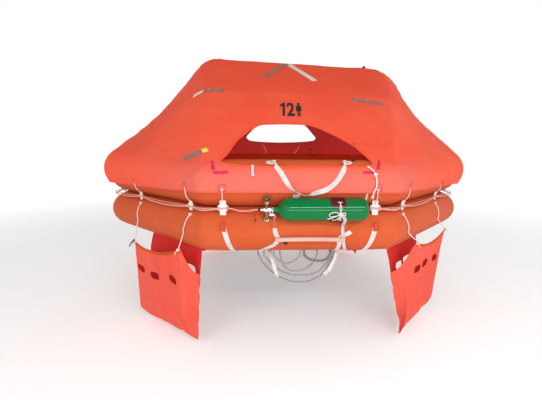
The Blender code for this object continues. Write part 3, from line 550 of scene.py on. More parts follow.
def onSide(angle, towards, t, n, z):
    # t along an octagon side, towards the front (-1) or the rear (1), and n outwards
    out = Vector((math.cos(angle), math.sin(angle), 0))
    on = Vector((-out.y, out.x, 0))
    if on.y * towards < 0:
        on = -on
    place = out * n + on * t
    return Vector((place.x, place.y, z))


def onRing(flip, side, t, n, z):
    # side counted from the front: clockwise from above, or the other way with flip -1
    angle = -math.pi / 2 - side * math.pi / 4
    out = Vector((math.cos(angle), math.sin(angle), 0))
    spot = out * n + Vector((out.y, -out.x, 0)) * t
    return Vector((flip * spot.x, spot.y, z))

# Lines that hang under the lower tube at the entrance, on the model's own routes
hangingLines = {
    "radius": 0.005,
    "start": 0.018,
    "routes": (
        ("hanging_line_1", -0.5, (
            (-0.250, -0.072), (-0.245, -0.095), (-0.210, -0.155), (-0.135, -0.228), (-0.045, -0.272), (0.035, -0.282),
            (0.105, -0.270), (0.180, -0.222), (0.220, -0.155), (0.247, -0.095), (0.252, -0.072),
        )),
        ("hanging_line_2", 0.5, (
            (-0.212, -0.072), (-0.205, -0.092), (-0.135, -0.165), (-0.045, -0.212), (0.070, -0.218), (0.150, -0.187),
            (0.212, -0.110), (0.226, -0.072),
        )),
        ("hanging_line_3", 0.5, (
            (-0.110, -0.072), (-0.105, -0.092), (-0.085, -0.150), (-0.030, -0.190), (0.040, -0.182), (0.090, -0.150),
            (0.125, -0.095), (0.130, -0.072),
        )),
        ("hanging_line_4", 1.5, (
            (-0.150, -0.062), (-0.142, -0.082), (-0.105, -0.114), (-0.070, -0.126), (-0.030, -0.115), (0.010, -0.080),
            (0.016, -0.062),
        )),
        ("hanging_line_5", 1.5, (
            (0.040, -0.062), (0.046, -0.075), (0.075, -0.098), (0.135, -0.110), (0.180, -0.100), (0.202, -0.075),
            (0.206, -0.062),
        )),
    ),
    "sides": (  # the lower step's two sides, webbing from the tube down to the longest line: x, y and z
        ((-0.175, -1.300, -0.052), (-0.160, -1.342, -0.105), (-0.145, -1.346, -0.160), (-0.125, -1.322, -0.226)),
        ((0.262, -1.320, -0.052), (0.240, -1.348, -0.100), (0.215, -1.348, -0.160), (0.180, -1.322, -0.218)),
    ),
    "sideWidth": 0.024,
    "flat": "hanging_line_5",
    "flatWidth": 0.017,
}


def makeLadderSides():
    made = []
    for number, side in enumerate(hangingLines["sides"]):
        run = spread(smoothRun(side, 8), 0.010)
        normals = [Vector((0.3 * math.sin(k / 5), -1, 0.15)).normalized() for k in range(len(run))]
        made.append(bandPiece(f"ladderSide_{number + 1}", run, normals, hangingLines["sideWidth"], 0.0022))
    return made


def makeHangingLines():
    surface = tubeRadius * math.cos(facet / 2)
    rises = (raft["gap"], hangingLines["start"] / 2, hangingLines["start"])
    for name, facets, run in hangingLines["routes"]:
        degrees = -90 + math.degrees(facet) * facets
        left = [onTube(run[0][0], degrees, surface + rise, lowerZ) for rise in rises]
        right = [onTube(run[-1][0], degrees, surface + rise, lowerZ) for rise in reversed(rises)]
        route = left + [Vector((x, left[-1].y, z)) for x, z in run[1:-1]] + right
        path = spread(smoothRun(route, 8), 0.006)
        radius = hangingLines["radius"]
        wide = 2 * radius
        if name == hangingLines["flat"]:  # this one is webbing
            wide = hangingLines["flatWidth"]
            piece = bandPiece(name + "_band", path, [Vector((0, -1, 0.1))] * len(path), wide, 0.003, "darkWebbing",
                              replacing=(name,))
        else:
            piece = ropePiece(name + "_rope", path, radius, "greyRope", replacing=(name,))
        others = makeLadderSides() if name == "hanging_line_1" else []
        runLength(path)


makeHangingLines()
print("hanging lines made")

# Canopy: one sheet from hem to hem over the arch, on the model's own ruling
canopy = {
    "archRadius": 0.10,
    "archPath": (
        (-1.31, 0.42, 0.0), (-1.14, 0.80, 0.30), (-0.69, 1.33, 0.14), (0.96, 1.26, 0.26), (1.19, 0.87, 0.30), (1.29, 0.42, 0.0),
    ),
    "stopsLeft": ((0, 0.095), (0.125, 0.13), (0.34, 0.2815), (0.41, 0.320), (0.5, 0.5)),
    "stopsRight": ((0, 0.10), (0.125, 0.14), (0.34, 0.214), (0.41, 0.284), (0.5, 0.5)),
    "wrap": 0.1045,
    "seamAt": 0.42,
    "shoulder": 56.0,
    "skirtRadius": 0.1565,
    "endExtra": 0.0135,
    "endShoulderExtra": 0.052,
    "hemFront": -17.0,
    "hemEnd": -24.0,
    "columns": 260,
    "rows": 124,
    "thick": 0.0016,
    "entrance": (
        (-0.46, 0.505), (-0.44, 0.56), (-0.37, 0.66), (-0.27, 0.735), (-0.20, 0.757), (0.04, 0.76),
        (0.16, 0.735), (0.33, 0.64), (0.40, 0.57), (0.43, 0.495), (0.20, 0.487), (-0.20, 0.487),
    ),
    "rearOpening": (
        (-0.30, 0.685), (-0.39, 0.72), (-0.385, 0.76), (-0.30, 0.84), (-0.20, 0.93), (-0.08, 0.965),
        (0.12, 0.97), (0.25, 0.94), (0.36, 0.87), (0.47, 0.78), (0.52, 0.73), (0.45, 0.69), (0.06, 0.67),
    ),
}


def archLine():
    # the arch's centre line in x and z, its straight runs joined by arcs
    corners = canopy["archPath"]
    points = [Vector(corners[0][:2])]
    for before, here, after in zip(corners, corners[1:], corners[2:]):
        spot = Vector(here[:2])
        back = (Vector(before[:2]) - spot).normalized()
        on = (Vector(after[:2]) - spot).normalized()
        half = back.angle(on) / 2
        middle = spot + (back + on).normalized() * here[2] / math.sin(half)
        start = spot + back * (here[2] / math.tan(half)) - middle
        end = spot + on * (here[2] / math.tan(half)) - middle
        turn = start.angle(end)
        for i in range(17):
            share = i / 16
            spoke = (start * math.sin((1 - share) * turn) + end * math.sin(share * turn)) / math.sin(turn)
            points.append(middle + spoke)
    points.append(Vector(corners[-1][:2]))
    return points


archPoints = archLine()
archLengths = [0.0]
for a, b in zip(archPoints, archPoints[1:]):
    archLengths.append(archLengths[-1] + (b - a).length)


def alongArch(share):
    wanted = share * archLengths[-1]
    for i in range(1, len(archPoints)):
        if wanted <= archLengths[i] or i == len(archPoints) - 1:
            part = (wanted - archLengths[i - 1]) / (archLengths[i] - archLengths[i - 1])
            run = (archPoints[i] - archPoints[i - 1]).normalized()
            return archPoints[i - 1].lerp(archPoints[i], part), run


def octagonPoint(share):
    reach = math.tan(corner)
    outline = [(-1, 0), (-1, -reach), (-reach, -1), (reach, -1), (1, -reach), (1, 0)]
    lengths = [0, 0.125, 0.375, 0.625, 0.875, 1]
    for i in range(5):
        if share <= lengths[i + 1] or i == 4:
            part = (share - lengths[i]) / (lengths[i + 1] - lengths[i])
            return Vector(outline[i]).lerp(Vector(outline[i + 1]), part)


def archShare(share):
    folded = min(share, 1 - share)
    stops = canopy["stopsLeft"] if share <= 0.5 else canopy["stopsRight"]
    for (low, a), (high, b) in zip(stops, stops[1:]):
        if folded <= high:
            found = a + (b - a) * (folded - low) / (high - low)
            return found if share <= 0.5 else 1 - found


def atEnd(share):
    return min(1.0, max(0.0, (0.375 - min(share, 1 - share)) / 0.25))


def skirtPoint(share, degrees):
    ends = atEnd(share)
    up = max(0.0, (degrees - canopy["hemEnd"]) / (canopy["shoulder"] - canopy["hemEnd"]))
    radius = canopy["skirtRadius"] + ends * (canopy["endExtra"] + canopy["endShoulderExtra"] * up)
    turn = math.radians(degrees)
    flat = octagonPoint(share) * (apothem + radius * math.cos(turn))
    return Vector((flat.x, flat.y, upperZ + radius * math.sin(turn)))


def canopyRuling(share):
    # where a column leaves the arch, how far it wraps round it, and where it meets the skirt
    shoulder = skirtPoint(share, canopy["shoulder"])
    here, run = alongArch(archShare(share))
    centre = Vector((here.x, 0, here.y))
    outwards = Vector((-run.y, 0, run.x))
    reach = shoulder - centre
    away = Vector((reach.dot(outwards), -reach.y))
    lean = max(0.0, math.atan2(away.y, away.x) - math.acos(canopy["wrap"] / away.length))
    return centre, outwards, lean, shoulder


wrapPart, skirtPart = 0.07, 0.80  # where the wrap ends and the skirt begins, down each half of the sheet


def hemDegrees(share):
    return canopy["hemFront"] + (canopy["hemEnd"] - canopy["hemFront"]) * atEnd(share)


def canopyPoint(share, down, ruling):
    # down runs from 0 at the ridge to 1 at the hem
    centre, outwards, lean, shoulder = ruling
    if down <= wrapPart:
        turn = lean * down / wrapPart
        return centre + canopy["wrap"] * (outwards * math.cos(turn) - Vector((0, math.sin(turn), 0)))
    if down <= skirtPart:
        contact = centre + canopy["wrap"] * (outwards * math.cos(lean) - Vector((0, math.sin(lean), 0)))
        part = (down - wrapPart) / (skirtPart - wrapPart)
        reach = (shoulder - contact).length
        fall = (shoulder - contact).normalized()
        fold = part / canopy["seamAt"] if part < canopy["seamAt"] else (1 - part) / (1 - canopy["seamAt"])
        out = Vector((0, -1, 0)) + fall * fall.y
        middle = 1 - abs(2 * share - 1) ** 3
        return contact.lerp(shoulder, part) + out.normalized() * (0.012 * reach * fold * middle)
    part = (down - skirtPart) / (1 - skirtPart)
    return skirtPoint(share, canopy["shoulder"] + (hemDegrees(share) - canopy["shoulder"]) * part)


# Where the hem is tied down: shares of the front half, one above each anchor of the grab lines
hemTies = (0.0625, 0.155, 0.215, 0.345, 0.405, 0.595, 0.655, 0.785, 0.845, 0.9375)
foldFans = (  # places from which tension folds fan out: x, y, z, number of folds, reach
    (-1.05, -0.45, 0.62, 15, 0.33), (1.10, -0.45, 0.62, 15, 0.33), (-0.46, -1.28, 0.56, 17, 0.30),
    (0.45, -1.28, 0.54, 17, 0.36), (0.98, -0.20, 1.20, 13, 0.30), (-0.70, -0.15, 1.36, 13, 0.22),
)


def canopyFolds(share, down, point):
    # how far a point stands off the ruled sheet: soft folds, pulls at the ties and a stitched seam
    front = Vector((point.x, -abs(point.y), point.z))
    height = noise.fractal(Vector((point.x * 1.7, point.y * 1.7, point.z * 2.6)), 0.6, 2.1, 3) * 0.006
    height += noise.noise(Vector((point.x * 9, point.y * 9, point.z * 3))) * 0.0018
    part = (down - wrapPart) / (skirtPart - wrapPart)
    height -= 0.003 * math.exp(-((part - canopy["seamAt"]) / 0.011) ** 2)
    fade = max(0.0, (down - 0.60) / 0.40) ** 2
    for tie in hemTies:
        off = (share - tie) * 4.8
        height -= 0.007 * fade * math.exp(-((off / 0.05) ** 2))
        height += 0.0024 * fade * math.exp(-((off / 0.22) ** 2)) * math.sin(off * 70)
    for x, y, z, folds, size in foldFans:
        away = front - Vector((x, y, z))
        reach = math.exp(-((away.length / size) ** 2)) * min(1.0, away.length / 0.07)
        height += 0.0036 * reach * math.sin(math.atan2(away.z, away.x) * folds)
    if down > 0.82:
        height += 0.0005 * math.sin(down * 95 + noise.noise(point * 3) * 3)
    return height


def makeCanopySheet():
    columns = canopy["columns"]
    rulings = [canopyRuling(k / columns) for k in range(columns + 1)]
    shares = {}

    def place(u, w):
        k = min(columns, max(0, round(u * columns)))
        down = abs(2 * w - 1)
        point = canopyPoint(k / columns, down, rulings[k])
        if w > 0.5:
            point.y = -point.y
        shares[tuple(round(value, 5) for value in point)] = (k / columns, down)
        return point

    bm = gridSheet(columns, canopy["rows"], place)
    known = bm.verts.layers.float.new("down")
    wide = bm.verts.layers.float.new("share")
    for vert in bm.verts:
        vert[wide], vert[known] = shares.get(tuple(round(value, 5) for value in vert.co), (0.5, 0.5))
    bmesh.ops.remove_doubles(bm, verts=bm.verts, dist=0.0004)
    bmesh.ops.recalc_face_normals(bm, faces=bm.faces)
    inner = [vert for vert in bm.verts if not vert.is_boundary]
    for _ in range(3):
        bmesh.ops.smooth_vert(bm, verts=inner, factor=0.5, use_axis_x=True, use_axis_y=True, use_axis_z=True)
    bm.normal_update()
    if sum(vert.normal.z for vert in bm.verts) < 0:
        bmesh.ops.reverse_faces(bm, faces=bm.faces)
    moves = [(vert, vert.normal * canopyFolds(vert[wide], vert[known], vert.co)) for vert in bm.verts]
    for vert, move in moves:
        vert.co += move
    piece = finishPiece("canopySheet", bm, ("canopy", "lining"), turn=False)
    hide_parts("canopy_front", "canopy_rear", "canopy_roof")
    thicken(piece, canopy["thick"], 1)
    return piece


def cutterFrom(points, way):
    # a closed outline extruded along a way, as a cutting tool
    bm = bmesh.new()
    face = bm.faces.new([bm.verts.new(point) for point in points])
    made = bmesh.ops.extrude_face_region(bm, geom=[face])["geom"]
    bmesh.ops.translate(bm, vec=way, verts=[each for each in made if isinstance(each, bmesh.types.BMVert)])
    bmesh.ops.recalc_face_normals(bm, faces=bm.faces)
    return bm


def cutWith(piece, bm):
    mesh = bpy.data.meshes.new("cutter")
    bm.to_mesh(mesh)
    bm.free()
    cutter = bpy.data.objects.new("cutter", mesh)
    bpy.context.scene.collection.objects.link(cutter)
    cut = piece.modifiers.new("cut", "BOOLEAN")
    cut.operation = "DIFFERENCE"
    cut.object = cutter
    settle(piece)
    bpy.data.objects.remove(cutter)
    bpy.data.meshes.remove(mesh)


def treeOf(piece):
    return BVHTree.FromObject(piece, bpy.context.evaluated_depsgraph_get())


canopySheet = makeCanopySheet()
wholeCanopy = treeOf(canopySheet)
for outline, near, reach in (("entrance", -1.8, 1.18), ("rearOpening", 0.62, 1.18)):
    run = smoothRun([(x, near, z) for x, z in canopy[outline]], 6, closed=True)
    cutWith(canopySheet, cutterFrom(run, (0, reach, 0)))
canopySheet.data.shade_smooth()
canopySheet.data.set_sharp_from_angle(angle=math.radians(50))
openCanopy = treeOf(canopySheet)


def outerSkin(point):
    # the canopy's outer face nearest to a point, and which way is out there
    spot, normal = wholeCanopy.find_nearest(point)[:2]
    if normal.dot(spot - Vector((0, 0, 0.2))) < 0:
        normal = -normal
    hit, over = wholeCanopy.ray_cast(spot + normal * 0.02, -normal)[:2]
    return (hit, over) if hit else (spot, normal)


def onCanopy(px, py, tree=wholeCanopy):
    # the canopy under a point of the photograph
    spot, normal = tree.ray_cast(Vector(lens["place"]), sightLine(px, py))[:2]
    return spot, normal


def hemRoll(name, outline, side, radius):
    # the turned edge of an opening, lying along the sheet
    run = smoothRun([(x, 0, z) for x, z in outline], 10, closed=True)
    points = []
    for point in run:
        spot, normal = wholeCanopy.ray_cast(Vector((point.x, side * 2.5, point.z)), Vector((0, -side, 0)))[:2]
        if spot:
            points.append(spot + normal * 0.0006)
    points = spread(points + [points[0]], 0.012)
    normals = [wholeCanopy.find_nearest(point)[1] for point in points]
    bm = sweep([(x * 2.6, y) for x, y in circle(radius, 8)], framesAlong(points, normals))
    finishPiece(name, bm, "canopy")


hemRoll("entranceHem", canopy["entrance"], -1, 0.0032)
hemRoll("rearOpeningHem", canopy["rearOpening"], 1, 0.0032)


def makeLowerHem():
    points = []
    for half in (1, -1):
        for k in range(241):
            share = k / 240 if half > 0 else 1 - k / 240
            spot = skirtPoint(share, hemDegrees(share) + 1.0)
            points.append(Vector((spot.x, half * spot.y, spot.z)))
    skins = [outerSkin(point) for point in spread(points, 0.012)]
    points = [spot - normal * 0.0006 for spot, normal in skins]
    bm = sweep([(x * 1.5, y) for x, y in circle(0.0032, 8)], framesAlong(points, [normal for spot, normal in skins]))
    finishPiece("lowerHem", bm, "pocket")


makeLowerHem()


# Marks laid on the canopy
def laidPatch(bm, corners, columns, rows, lift=0.0010, thick=0.0008):
    # a patch whose four corners are given in order, pressed on to the sheet
    a, b, c, d = corners
    made = gridSheet(columns, rows, lambda u, w: a.lerp(b, u).lerp(d.lerp(c, u), w))
    made.normal_update()
    for vert in made.verts:
        spot, normal = outerSkin(vert.co)
        vert.co = spot + normal * (lift + thick)
    bmesh.ops.recalc_face_normals(made, faces=made.faces)
    first = made.faces[:][0]
    if first.normal.dot(first.calc_center_median() - Vector((0, 0, 0.2))) < 0:
        bmesh.ops.reverse_faces(made, faces=made.faces)
    bmesh.ops.solidify(made, geom=made.faces[:], thickness=thick)
    addInto(bm, made)


def bandCorners(first, last, width):
    # the corners of a band on the canopy between two places
    across = (last - first).cross(wholeCanopy.find_nearest((first + last) / 2)[1]).normalized() * width / 2
    return first + across, last + across, last - across, first - across


tapes = {
    "width": 0.054,
    "flat": (((203, 91.5), (224, 90.6)), ((352, 99.5), (383, 104.5)), ((184, 158), (202, 151.6))),
    "cross": (((264, 77), (288, 68.0)), ((315, 81), (288, 68.0))),
    "lit": ((193.5, 96.5), (203, 91.5)),
    "glint": ((202, 151.6), (207.5, 149.6)),
}


def makeTapes():
    # two of the lengths, and a small yellow patch, are painted pale as highlights where they catch the light
    bm, lit, glint = bmesh.new(), bmesh.new(), bmesh.new()
    for first, last in tapes["flat"]:
        laidPatch(bm, bandCorners(onCanopy(*first)[0], onCanopy(*last)[0], tapes["width"]), 16, 3)
    for made, (first, last) in ((lit, tapes["lit"]), (glint, tapes["glint"])):
        laidPatch(made, bandCorners(onCanopy(*first)[0], onCanopy(*last)[0], tapes["width"] * 0.8), 8, 3)
    middle = onCanopy(*tapes["cross"][0][1])[0]
    for first, _ in tapes["cross"]:
        near = onCanopy(*first)[0]
        far = Vector((2 * middle.x - near.x, -near.y, near.z))
        ridge = Vector((middle.x, 0, middle.z + 0.01))
        across = Vector((near.y, -(near.x - middle.x), 0)).normalized() * tapes["width"] / 2
        for a, b in ((near, ridge), (ridge, far)):
            made = lit if near.x > middle.x and b == ridge else bm
            laidPatch(made, (a + across, b + across, b - across, a - across), 22, 3)
    for first, last in tapes["flat"]:  # the same three on the rear half
        ends = [Vector((spot.x, -spot.y, spot.z)) for spot in (onCanopy(*first)[0], onCanopy(*last)[0])]
        laidPatch(bm, bandCorners(*ends, tapes["width"]), 16, 3)
    finishPiece("reflectiveTapes", bm, "tape")
    finishPiece("litTapes", lit, "litTape")
    finishPiece("tapeGlint", glint, "glint")


makeTapes()

cornerMarks = {
    "width": 0.018,
    "runs": (((212, 161), (213.5, 170)), ((213, 172.5), (228, 172.5)), ((363, 172.8), (376, 172.8)), ((379, 161), (378, 170))),
}


def makeCornerMarks():
    bm = bmesh.new()
    for first, last in cornerMarks["runs"]:
        laidPatch(bm, bandCorners(onCanopy(*first)[0], onCanopy(*last)[0], cornerMarks["width"]), 16, 4, 0.0018)
    finishPiece("cornerMarks", bm, "corner")


makeCornerMarks()

capacity = {
    "low": (279.5, 116),
    "right": (302, 116.5),
    "top": (279.5, 102.5),
    "one": (  # the outline of the figure 1, as shares of the mark
        (0.02, 0.68), (0.02, 0.83), (0.10, 0.88), (0.15, 1.0), (0.25, 1.0), (0.25, 0.0), (0.14, 0.0), (0.14, 0.72),
    ),
    "two": (0.33, 0.69),
    "figure": 0.76,
}


def flatFigure():
    # a plain standing figure, one unit high: round head, body, two legs
    bm = bmesh.new()
    bmesh.ops.create_circle(bm, cap_ends=True, segments=24, radius=0.105)
    bmesh.ops.translate(bm, vec=(0.17, 0.895, 0), verts=bm.verts)
    body = (
        (0.05, 0.77), (0.29, 0.77), (0.34, 0.71), (0.34, 0.38), (0.27, 0.38), (0.27, 0.0),
        (0.185, 0.0), (0.185, 0.34), (0.155, 0.34), (0.155, 0.0), (0.07, 0.0), (0.07, 0.38), (0.0, 0.38), (0.0, 0.71),
    )
    bm.faces.new([bm.verts.new((x, y, 0)) for x, y in body])
    return bm


def boldDigits(text):
    curve = bpy.data.curves.new("digits", "FONT")
    curve.body = text
    curve.size = 1.38
    curve.offset = 0.040
    curve.space_character = 0.95
    thing = bpy.data.objects.new("digits", curve)
    bpy.context.scene.collection.objects.link(thing)
    graph = bpy.context.evaluated_depsgraph_get()
    mesh = bpy.data.meshes.new_from_object(thing.evaluated_get(graph), depsgraph=graph)
    bm = bmesh.new()
    bm.from_mesh(mesh)
    bpy.data.objects.remove(thing)
    bpy.data.curves.remove(curve)
    bpy.data.meshes.remove(mesh)
    return bm


def makeCapacity():
    # the number and the figure, cut into small faces and pressed on to the sheet
    low, right, top = (onCanopy(*capacity[key])[0] for key in ("low", "right", "top"))
    across, up = right - low, top - low
    bm = boldDigits("2")
    xs, ys = [vert.co.x for vert in bm.verts], [vert.co.y for vert in bm.verts]
    wide, tall = max(xs) - min(xs), max(ys) - min(ys)
    start, end = capacity["two"]
    for vert in bm.verts:
        vert.co = Vector((start + (vert.co.x - min(xs)) / wide * (end - start), (vert.co.y - min(ys)) / tall, 0))
    bm.faces.new([bm.verts.new((x, y, 0)) for x, y in capacity["one"]])
    figure = flatFigure()
    for vert in figure.verts:
        vert.co = Vector((capacity["figure"] + vert.co.x * (1 - capacity["figure"]) / 0.34, vert.co.y, 0))
    addInto(bm, figure)
    for axis in (0, 1):
        for k in range(1, 14):
            normal = Vector((0, 0, 0))
            normal[axis] = 1
            geometry = bm.verts[:] + bm.edges[:] + bm.faces[:]
            bmesh.ops.bisect_plane(bm, geom=geometry, plane_co=normal * k / 14, plane_no=normal, dist=1e-6)
    for vert in bm.verts:
        spot, normal = outerSkin(low + across * vert.co.x + up * vert.co.y)
        vert.co = spot + normal * 0.0014
    bmesh.ops.remove_doubles(bm, verts=bm.verts, dist=1e-5)
    for face in bm.faces:
        face.normal_update()
        if face.normal.y > 0:
            face.normal_flip()
    bmesh.ops.solidify(bm, geom=bm.faces[:], thickness=0.0006)
    finishPiece("capacityMark", bm, "ink")


makeCapacity()
print("marks laid")

# Buoyancy tubes: straight runs mitred at eight corners, pinched and puckered there; the tape over the corners is not
# drawn
tubeSkin = {
    "turns": 64,
    "shares": (-1, -0.97, -0.94, -0.90, -0.84, -0.76, -0.6, -0.4, -0.2, 0, 0.2, 0.4, 0.6, 0.76, 0.84, 0.90, 0.94, 0.97),
    "pinch": 0.0022,
    "puckers": 31,
    "pucker": 0.0011,
    "swell": 0.0009,
}


def tubeSection(flatAt):
    # a circle, flattened above (flatAt > 0) or below where the other tube presses on it
    half = math.asin(abs(flatAt) / tubeRadius)
    first, last = (half, -math.pi - half) if flatAt > 0 else (-half, math.pi + half)
    count = tubeSkin["turns"]
    angles = [first + (last - first) * k / count for k in range(count + 1)]
    return [(tubeRadius * math.cos(a), tubeRadius * math.sin(a)) for a in angles]


def ringFrames(tubeZ):
    # frames round the octagon, leaning into the mitres
    frames = []
    for side in range(8):
        angle = side * math.pi / 4 - math.pi / 2
        out = Vector((math.cos(angle), math.sin(angle), 0))
        on = Vector((-out.y, out.x, 0))
        for share in tubeSkin["shares"]:
            lean = out + on * (share * math.tan(corner))
            frame = Matrix((lean, Vector((0, 0, 1)), on)).transposed().to_4x4()
            frames.append(Matrix.Translation(lean * apothem + Vector((0, 0, tubeZ))) @ frame)
    return frames


def cornerDistance(point):
    turn = (math.atan2(point.y, point.x) / (math.pi / 4)) % 1 - 0.5
    return abs(turn) * math.pi / 4 * math.hypot(point.x, point.y)


def makeTubeSkin(name, tubeZ, flatAt, node):
    frames = ringFrames(tubeZ)
    bm = sweep(tubeSection(flatAt), frames + frames[:1])
    caps = [face for face in bm.faces if len(face.verts) > 4]
    bmesh.ops.delete(bm, geom=caps, context="FACES_ONLY")
    bmesh.ops.remove_doubles(bm, verts=bm.verts, dist=1e-5)
    bmesh.ops.recalc_face_normals(bm, faces=bm.faces)
    bm.normal_update()
    moves = []
    for vert in bm.verts:
        off = cornerDistance(vert.co)
        around = math.atan2(vert.co.z - tubeZ, math.hypot(vert.co.x, vert.co.y) - apothem)
        height = -tubeSkin["pinch"] * math.exp(-((off / 0.035) ** 2))
        height -= tubeSkin["pucker"] * math.exp(-((off / 0.06) ** 2)) * (0.5 + 0.5 * math.sin(around * tubeSkin["puckers"]))
        height -= tubeSkin["swell"] * (0.5 + 0.5 * noise.noise(vert.co * 4))
        moves.append((vert, vert.normal * height))
    for vert, move in moves:
        vert.co += move
    finishPiece(name, bm, "tube", (node,), 60)


makeTubeSkin("lowerTubeSkin", lowerZ, pressed, "lower_buoyancy_tube")
makeTubeSkin("upperTubeSkin", upperZ, -pressed, "upper_buoyancy_tube")


def makeArchSkin():
    run = spread([Vector((point.x, 0, point.y)) for point in archPoints], 0.03)
    bm = sweep(circle(canopy["archRadius"] - raft["gap"], 40), framesAlong(run))
    finishPiece("archTubeSkin", bm, "tube", ("canopy_arch_tube",), 60)


makeArchSkin()
print("tubes made")

# Floor: a quilted pad let in between the lower tube's sides
floorPad = {"top": 0.015, "rim": 1.184, "foot": 1.2315, "deep": 0.045, "quilt": 0.16, "dip": 0.007}


def makeFloorPad():
    bm = bmesh.new()
    bmesh.ops.create_grid(bm, x_segments=150, y_segments=150, size=1.28)
    for side in range(8):
        out = Vector((math.cos(side * math.pi / 4), math.sin(side * math.pi / 4), 0))
        geometry = bm.verts[:] + bm.edges[:] + bm.faces[:]
        bmesh.ops.bisect_plane(
            bm, geom=geometry, plane_co=out * floorPad["rim"], plane_no=out, clear_outer=True, dist=1e-5
        )
    pitch = floorPad["quilt"]
    for vert in bm.verts:
        seams = []
        for place in ((vert.co.x + vert.co.y) / pitch, (vert.co.x - vert.co.y) / pitch):
            seams.append(math.exp(-(((place % 1 - 0.5) / 0.09) ** 2)))
        vert.co.z = floorPad["top"] - floorPad["dip"] * max(seams) if not vert.is_boundary else floorPad["top"] - 0.004
    rim = [edge for edge in bm.edges if edge.is_boundary]
    made = bmesh.ops.extrude_edge_only(bm, edges=rim)["geom"]
    low = [each for each in made if isinstance(each, bmesh.types.BMVert)]
    for vert in low:
        vert.co = Vector((vert.co.x, vert.co.y, 0)) * (floorPad["foot"] / floorPad["rim"])
        vert.co.z = floorPad["top"] - floorPad["deep"]
    bmesh.ops.contextual_create(bm, geom=[each for each in made if isinstance(each, bmesh.types.BMEdge)])
    piece = finishPiece("floorPad", bm, "floor", ("raft_floor",), 40)


makeFloorPad()
print("floor made")

# Ballast pockets: hung cloth, open at the top, on two cords each
pocket = {
    "places": (("front_left", -135, -1), ("front_right", -45, -1), ("rear_left", 135, 1), ("rear_right", 45, 1)),
    "t": (-0.17, 0.43),
    "top": -0.0503,
    "backN": (1.301, 1.311),
    "outerN": (1.452, 1.423),
    "cordZ": -0.100,
    "sag": 0.050,
    "sideDip": 0.155,
    "outerFoot": -0.598,
    "backFoot": -0.737,
    "thick": 0.0016,
    "binding": 0.022,
    "hole": (0.054, 0.027),
    "holeReach": ((1.39, 1.50), (1.27, 1.345)),
    "holes": (((-0.09, -0.285), (0.10, -0.285), (0.29, -0.285)), ((-0.03, -0.24), (0.16, -0.24), (0.35, -0.24))),
    "frontHoles": {
        "front_left": (((-0.174, -0.318), (0.025, -0.325), (0.27, -0.288)), ((-0.07, -0.24), (0.11, -0.24), (0.292, -0.238))),
        "front_right": (((-0.187, -0.252), (0.03, -0.241), (0.179, -0.250)), ((-0.03, -0.24), (0.06, -0.232), (0.210, -0.24))),
    },
    "cords": ((-0.157, -0.16), (0.477, 0.42)),
    "cordArc": (38.0, -12.0),
    "cordRadius": 0.004,
    # how the front pockets hang off their plain shape: moves along the side, outwards and up, for the outer
    # and then the inner end of the back and then the outer panel, at the rim and then at the foot
    "hangs": {
        "front_left": (
            (-0.10, 0, 0), (-0.10, 0, -0.02), (-0.065, 0, -0.021), (-0.085, 0, -0.055),
            (-0.008, 0, 0), (-0.059, 0, -0.005), (-0.037, 0, 0.052), (-0.066, 0, 0.060),
        ),
        "front_right": (
            (0, 0, 0), (-0.05, 0, 0), (-0.200, 0, 0.049), (-0.080, 0, -0.012),
            (-0.018, 0, 0), (-0.168, 0.05, -0.015), (-0.147, 0, 0.067), (-0.120, 0, 0.016),
        ),
    },
}


def pocketOut(far, z):
    # outwards place of the cloth: far is 0 at the back panel and 1 at the outer one
    drop = min(1.0, max(0.0, (pocket["top"] - z) / (pocket["top"] - pocket["backFoot"])))
    back = pocket["backN"][0] + (pocket["backN"][1] - pocket["backN"][0]) * drop
    front = pocket["outerN"][0] + (pocket["outerN"][1] - pocket["outerN"][0]) * min(1.0, drop * 1.25)
    return back + (front - back) * far


def pocketRound(u):
    # from the back corner along one side, the outer panel and the other side: place along it, and how far out
    low, high = pocket["t"]
    side = 0.15
    walk = u * (2 * side + high - low)
    if walk <= side:
        return high, walk / side
    if walk >= side + high - low:
        return low, max(0.0, 1 - (walk - side - high + low) / side)
    return high - (walk - side), 1.0


def pocketRim(t, far):
    low, high = pocket["t"]
    across = (t - low) / (high - low)
    sag = pocket["sag"] * 4 * across * (1 - across)
    return pocket["cordZ"] - sag - pocket["sideDip"] * (1 - far**2.3)


def pocketFoot(far):
    return pocket["outerFoot"] + (pocket["backFoot"] - pocket["outerFoot"]) * (1 - far**1.7)


def pocketFolds(t, far, z, seed):
    # how far the cloth stands off: hung folds that run down, and a soft bag near the foot
    down = min(1.0, max(0.0, (-0.1 - z) / 0.6))
    height = noise.noise(Vector((t * 9 + far * 2, z * 1.6, seed))) * (0.004 + 0.010 * down)
    height += noise.noise(Vector((t * 22, z * 5, seed + 7))) * 0.0025
    height += 0.0035 * math.sin((t + z * 0.35) * 34 + seed) * math.exp(-((down - 0.15) / 0.2) ** 2)
    return height


def pocketHang(place, t, far, z):
    low, high = pocket["t"]
    along = min(1.0, max(0.0, (t - low) / (high - low)))
    down = min(1.0, max(0.0, (-0.1 - z) / 0.55))
    hang = Vector((0, 0, 0))
    for number, move in enumerate(pocket["hangs"].get(place, ())):
        share = along if number & 4 else 1 - along
        share *= far if number & 2 else 1 - far
        share *= down if number & 1 else 1 - down
        hang += Vector(move) * share
    return hang


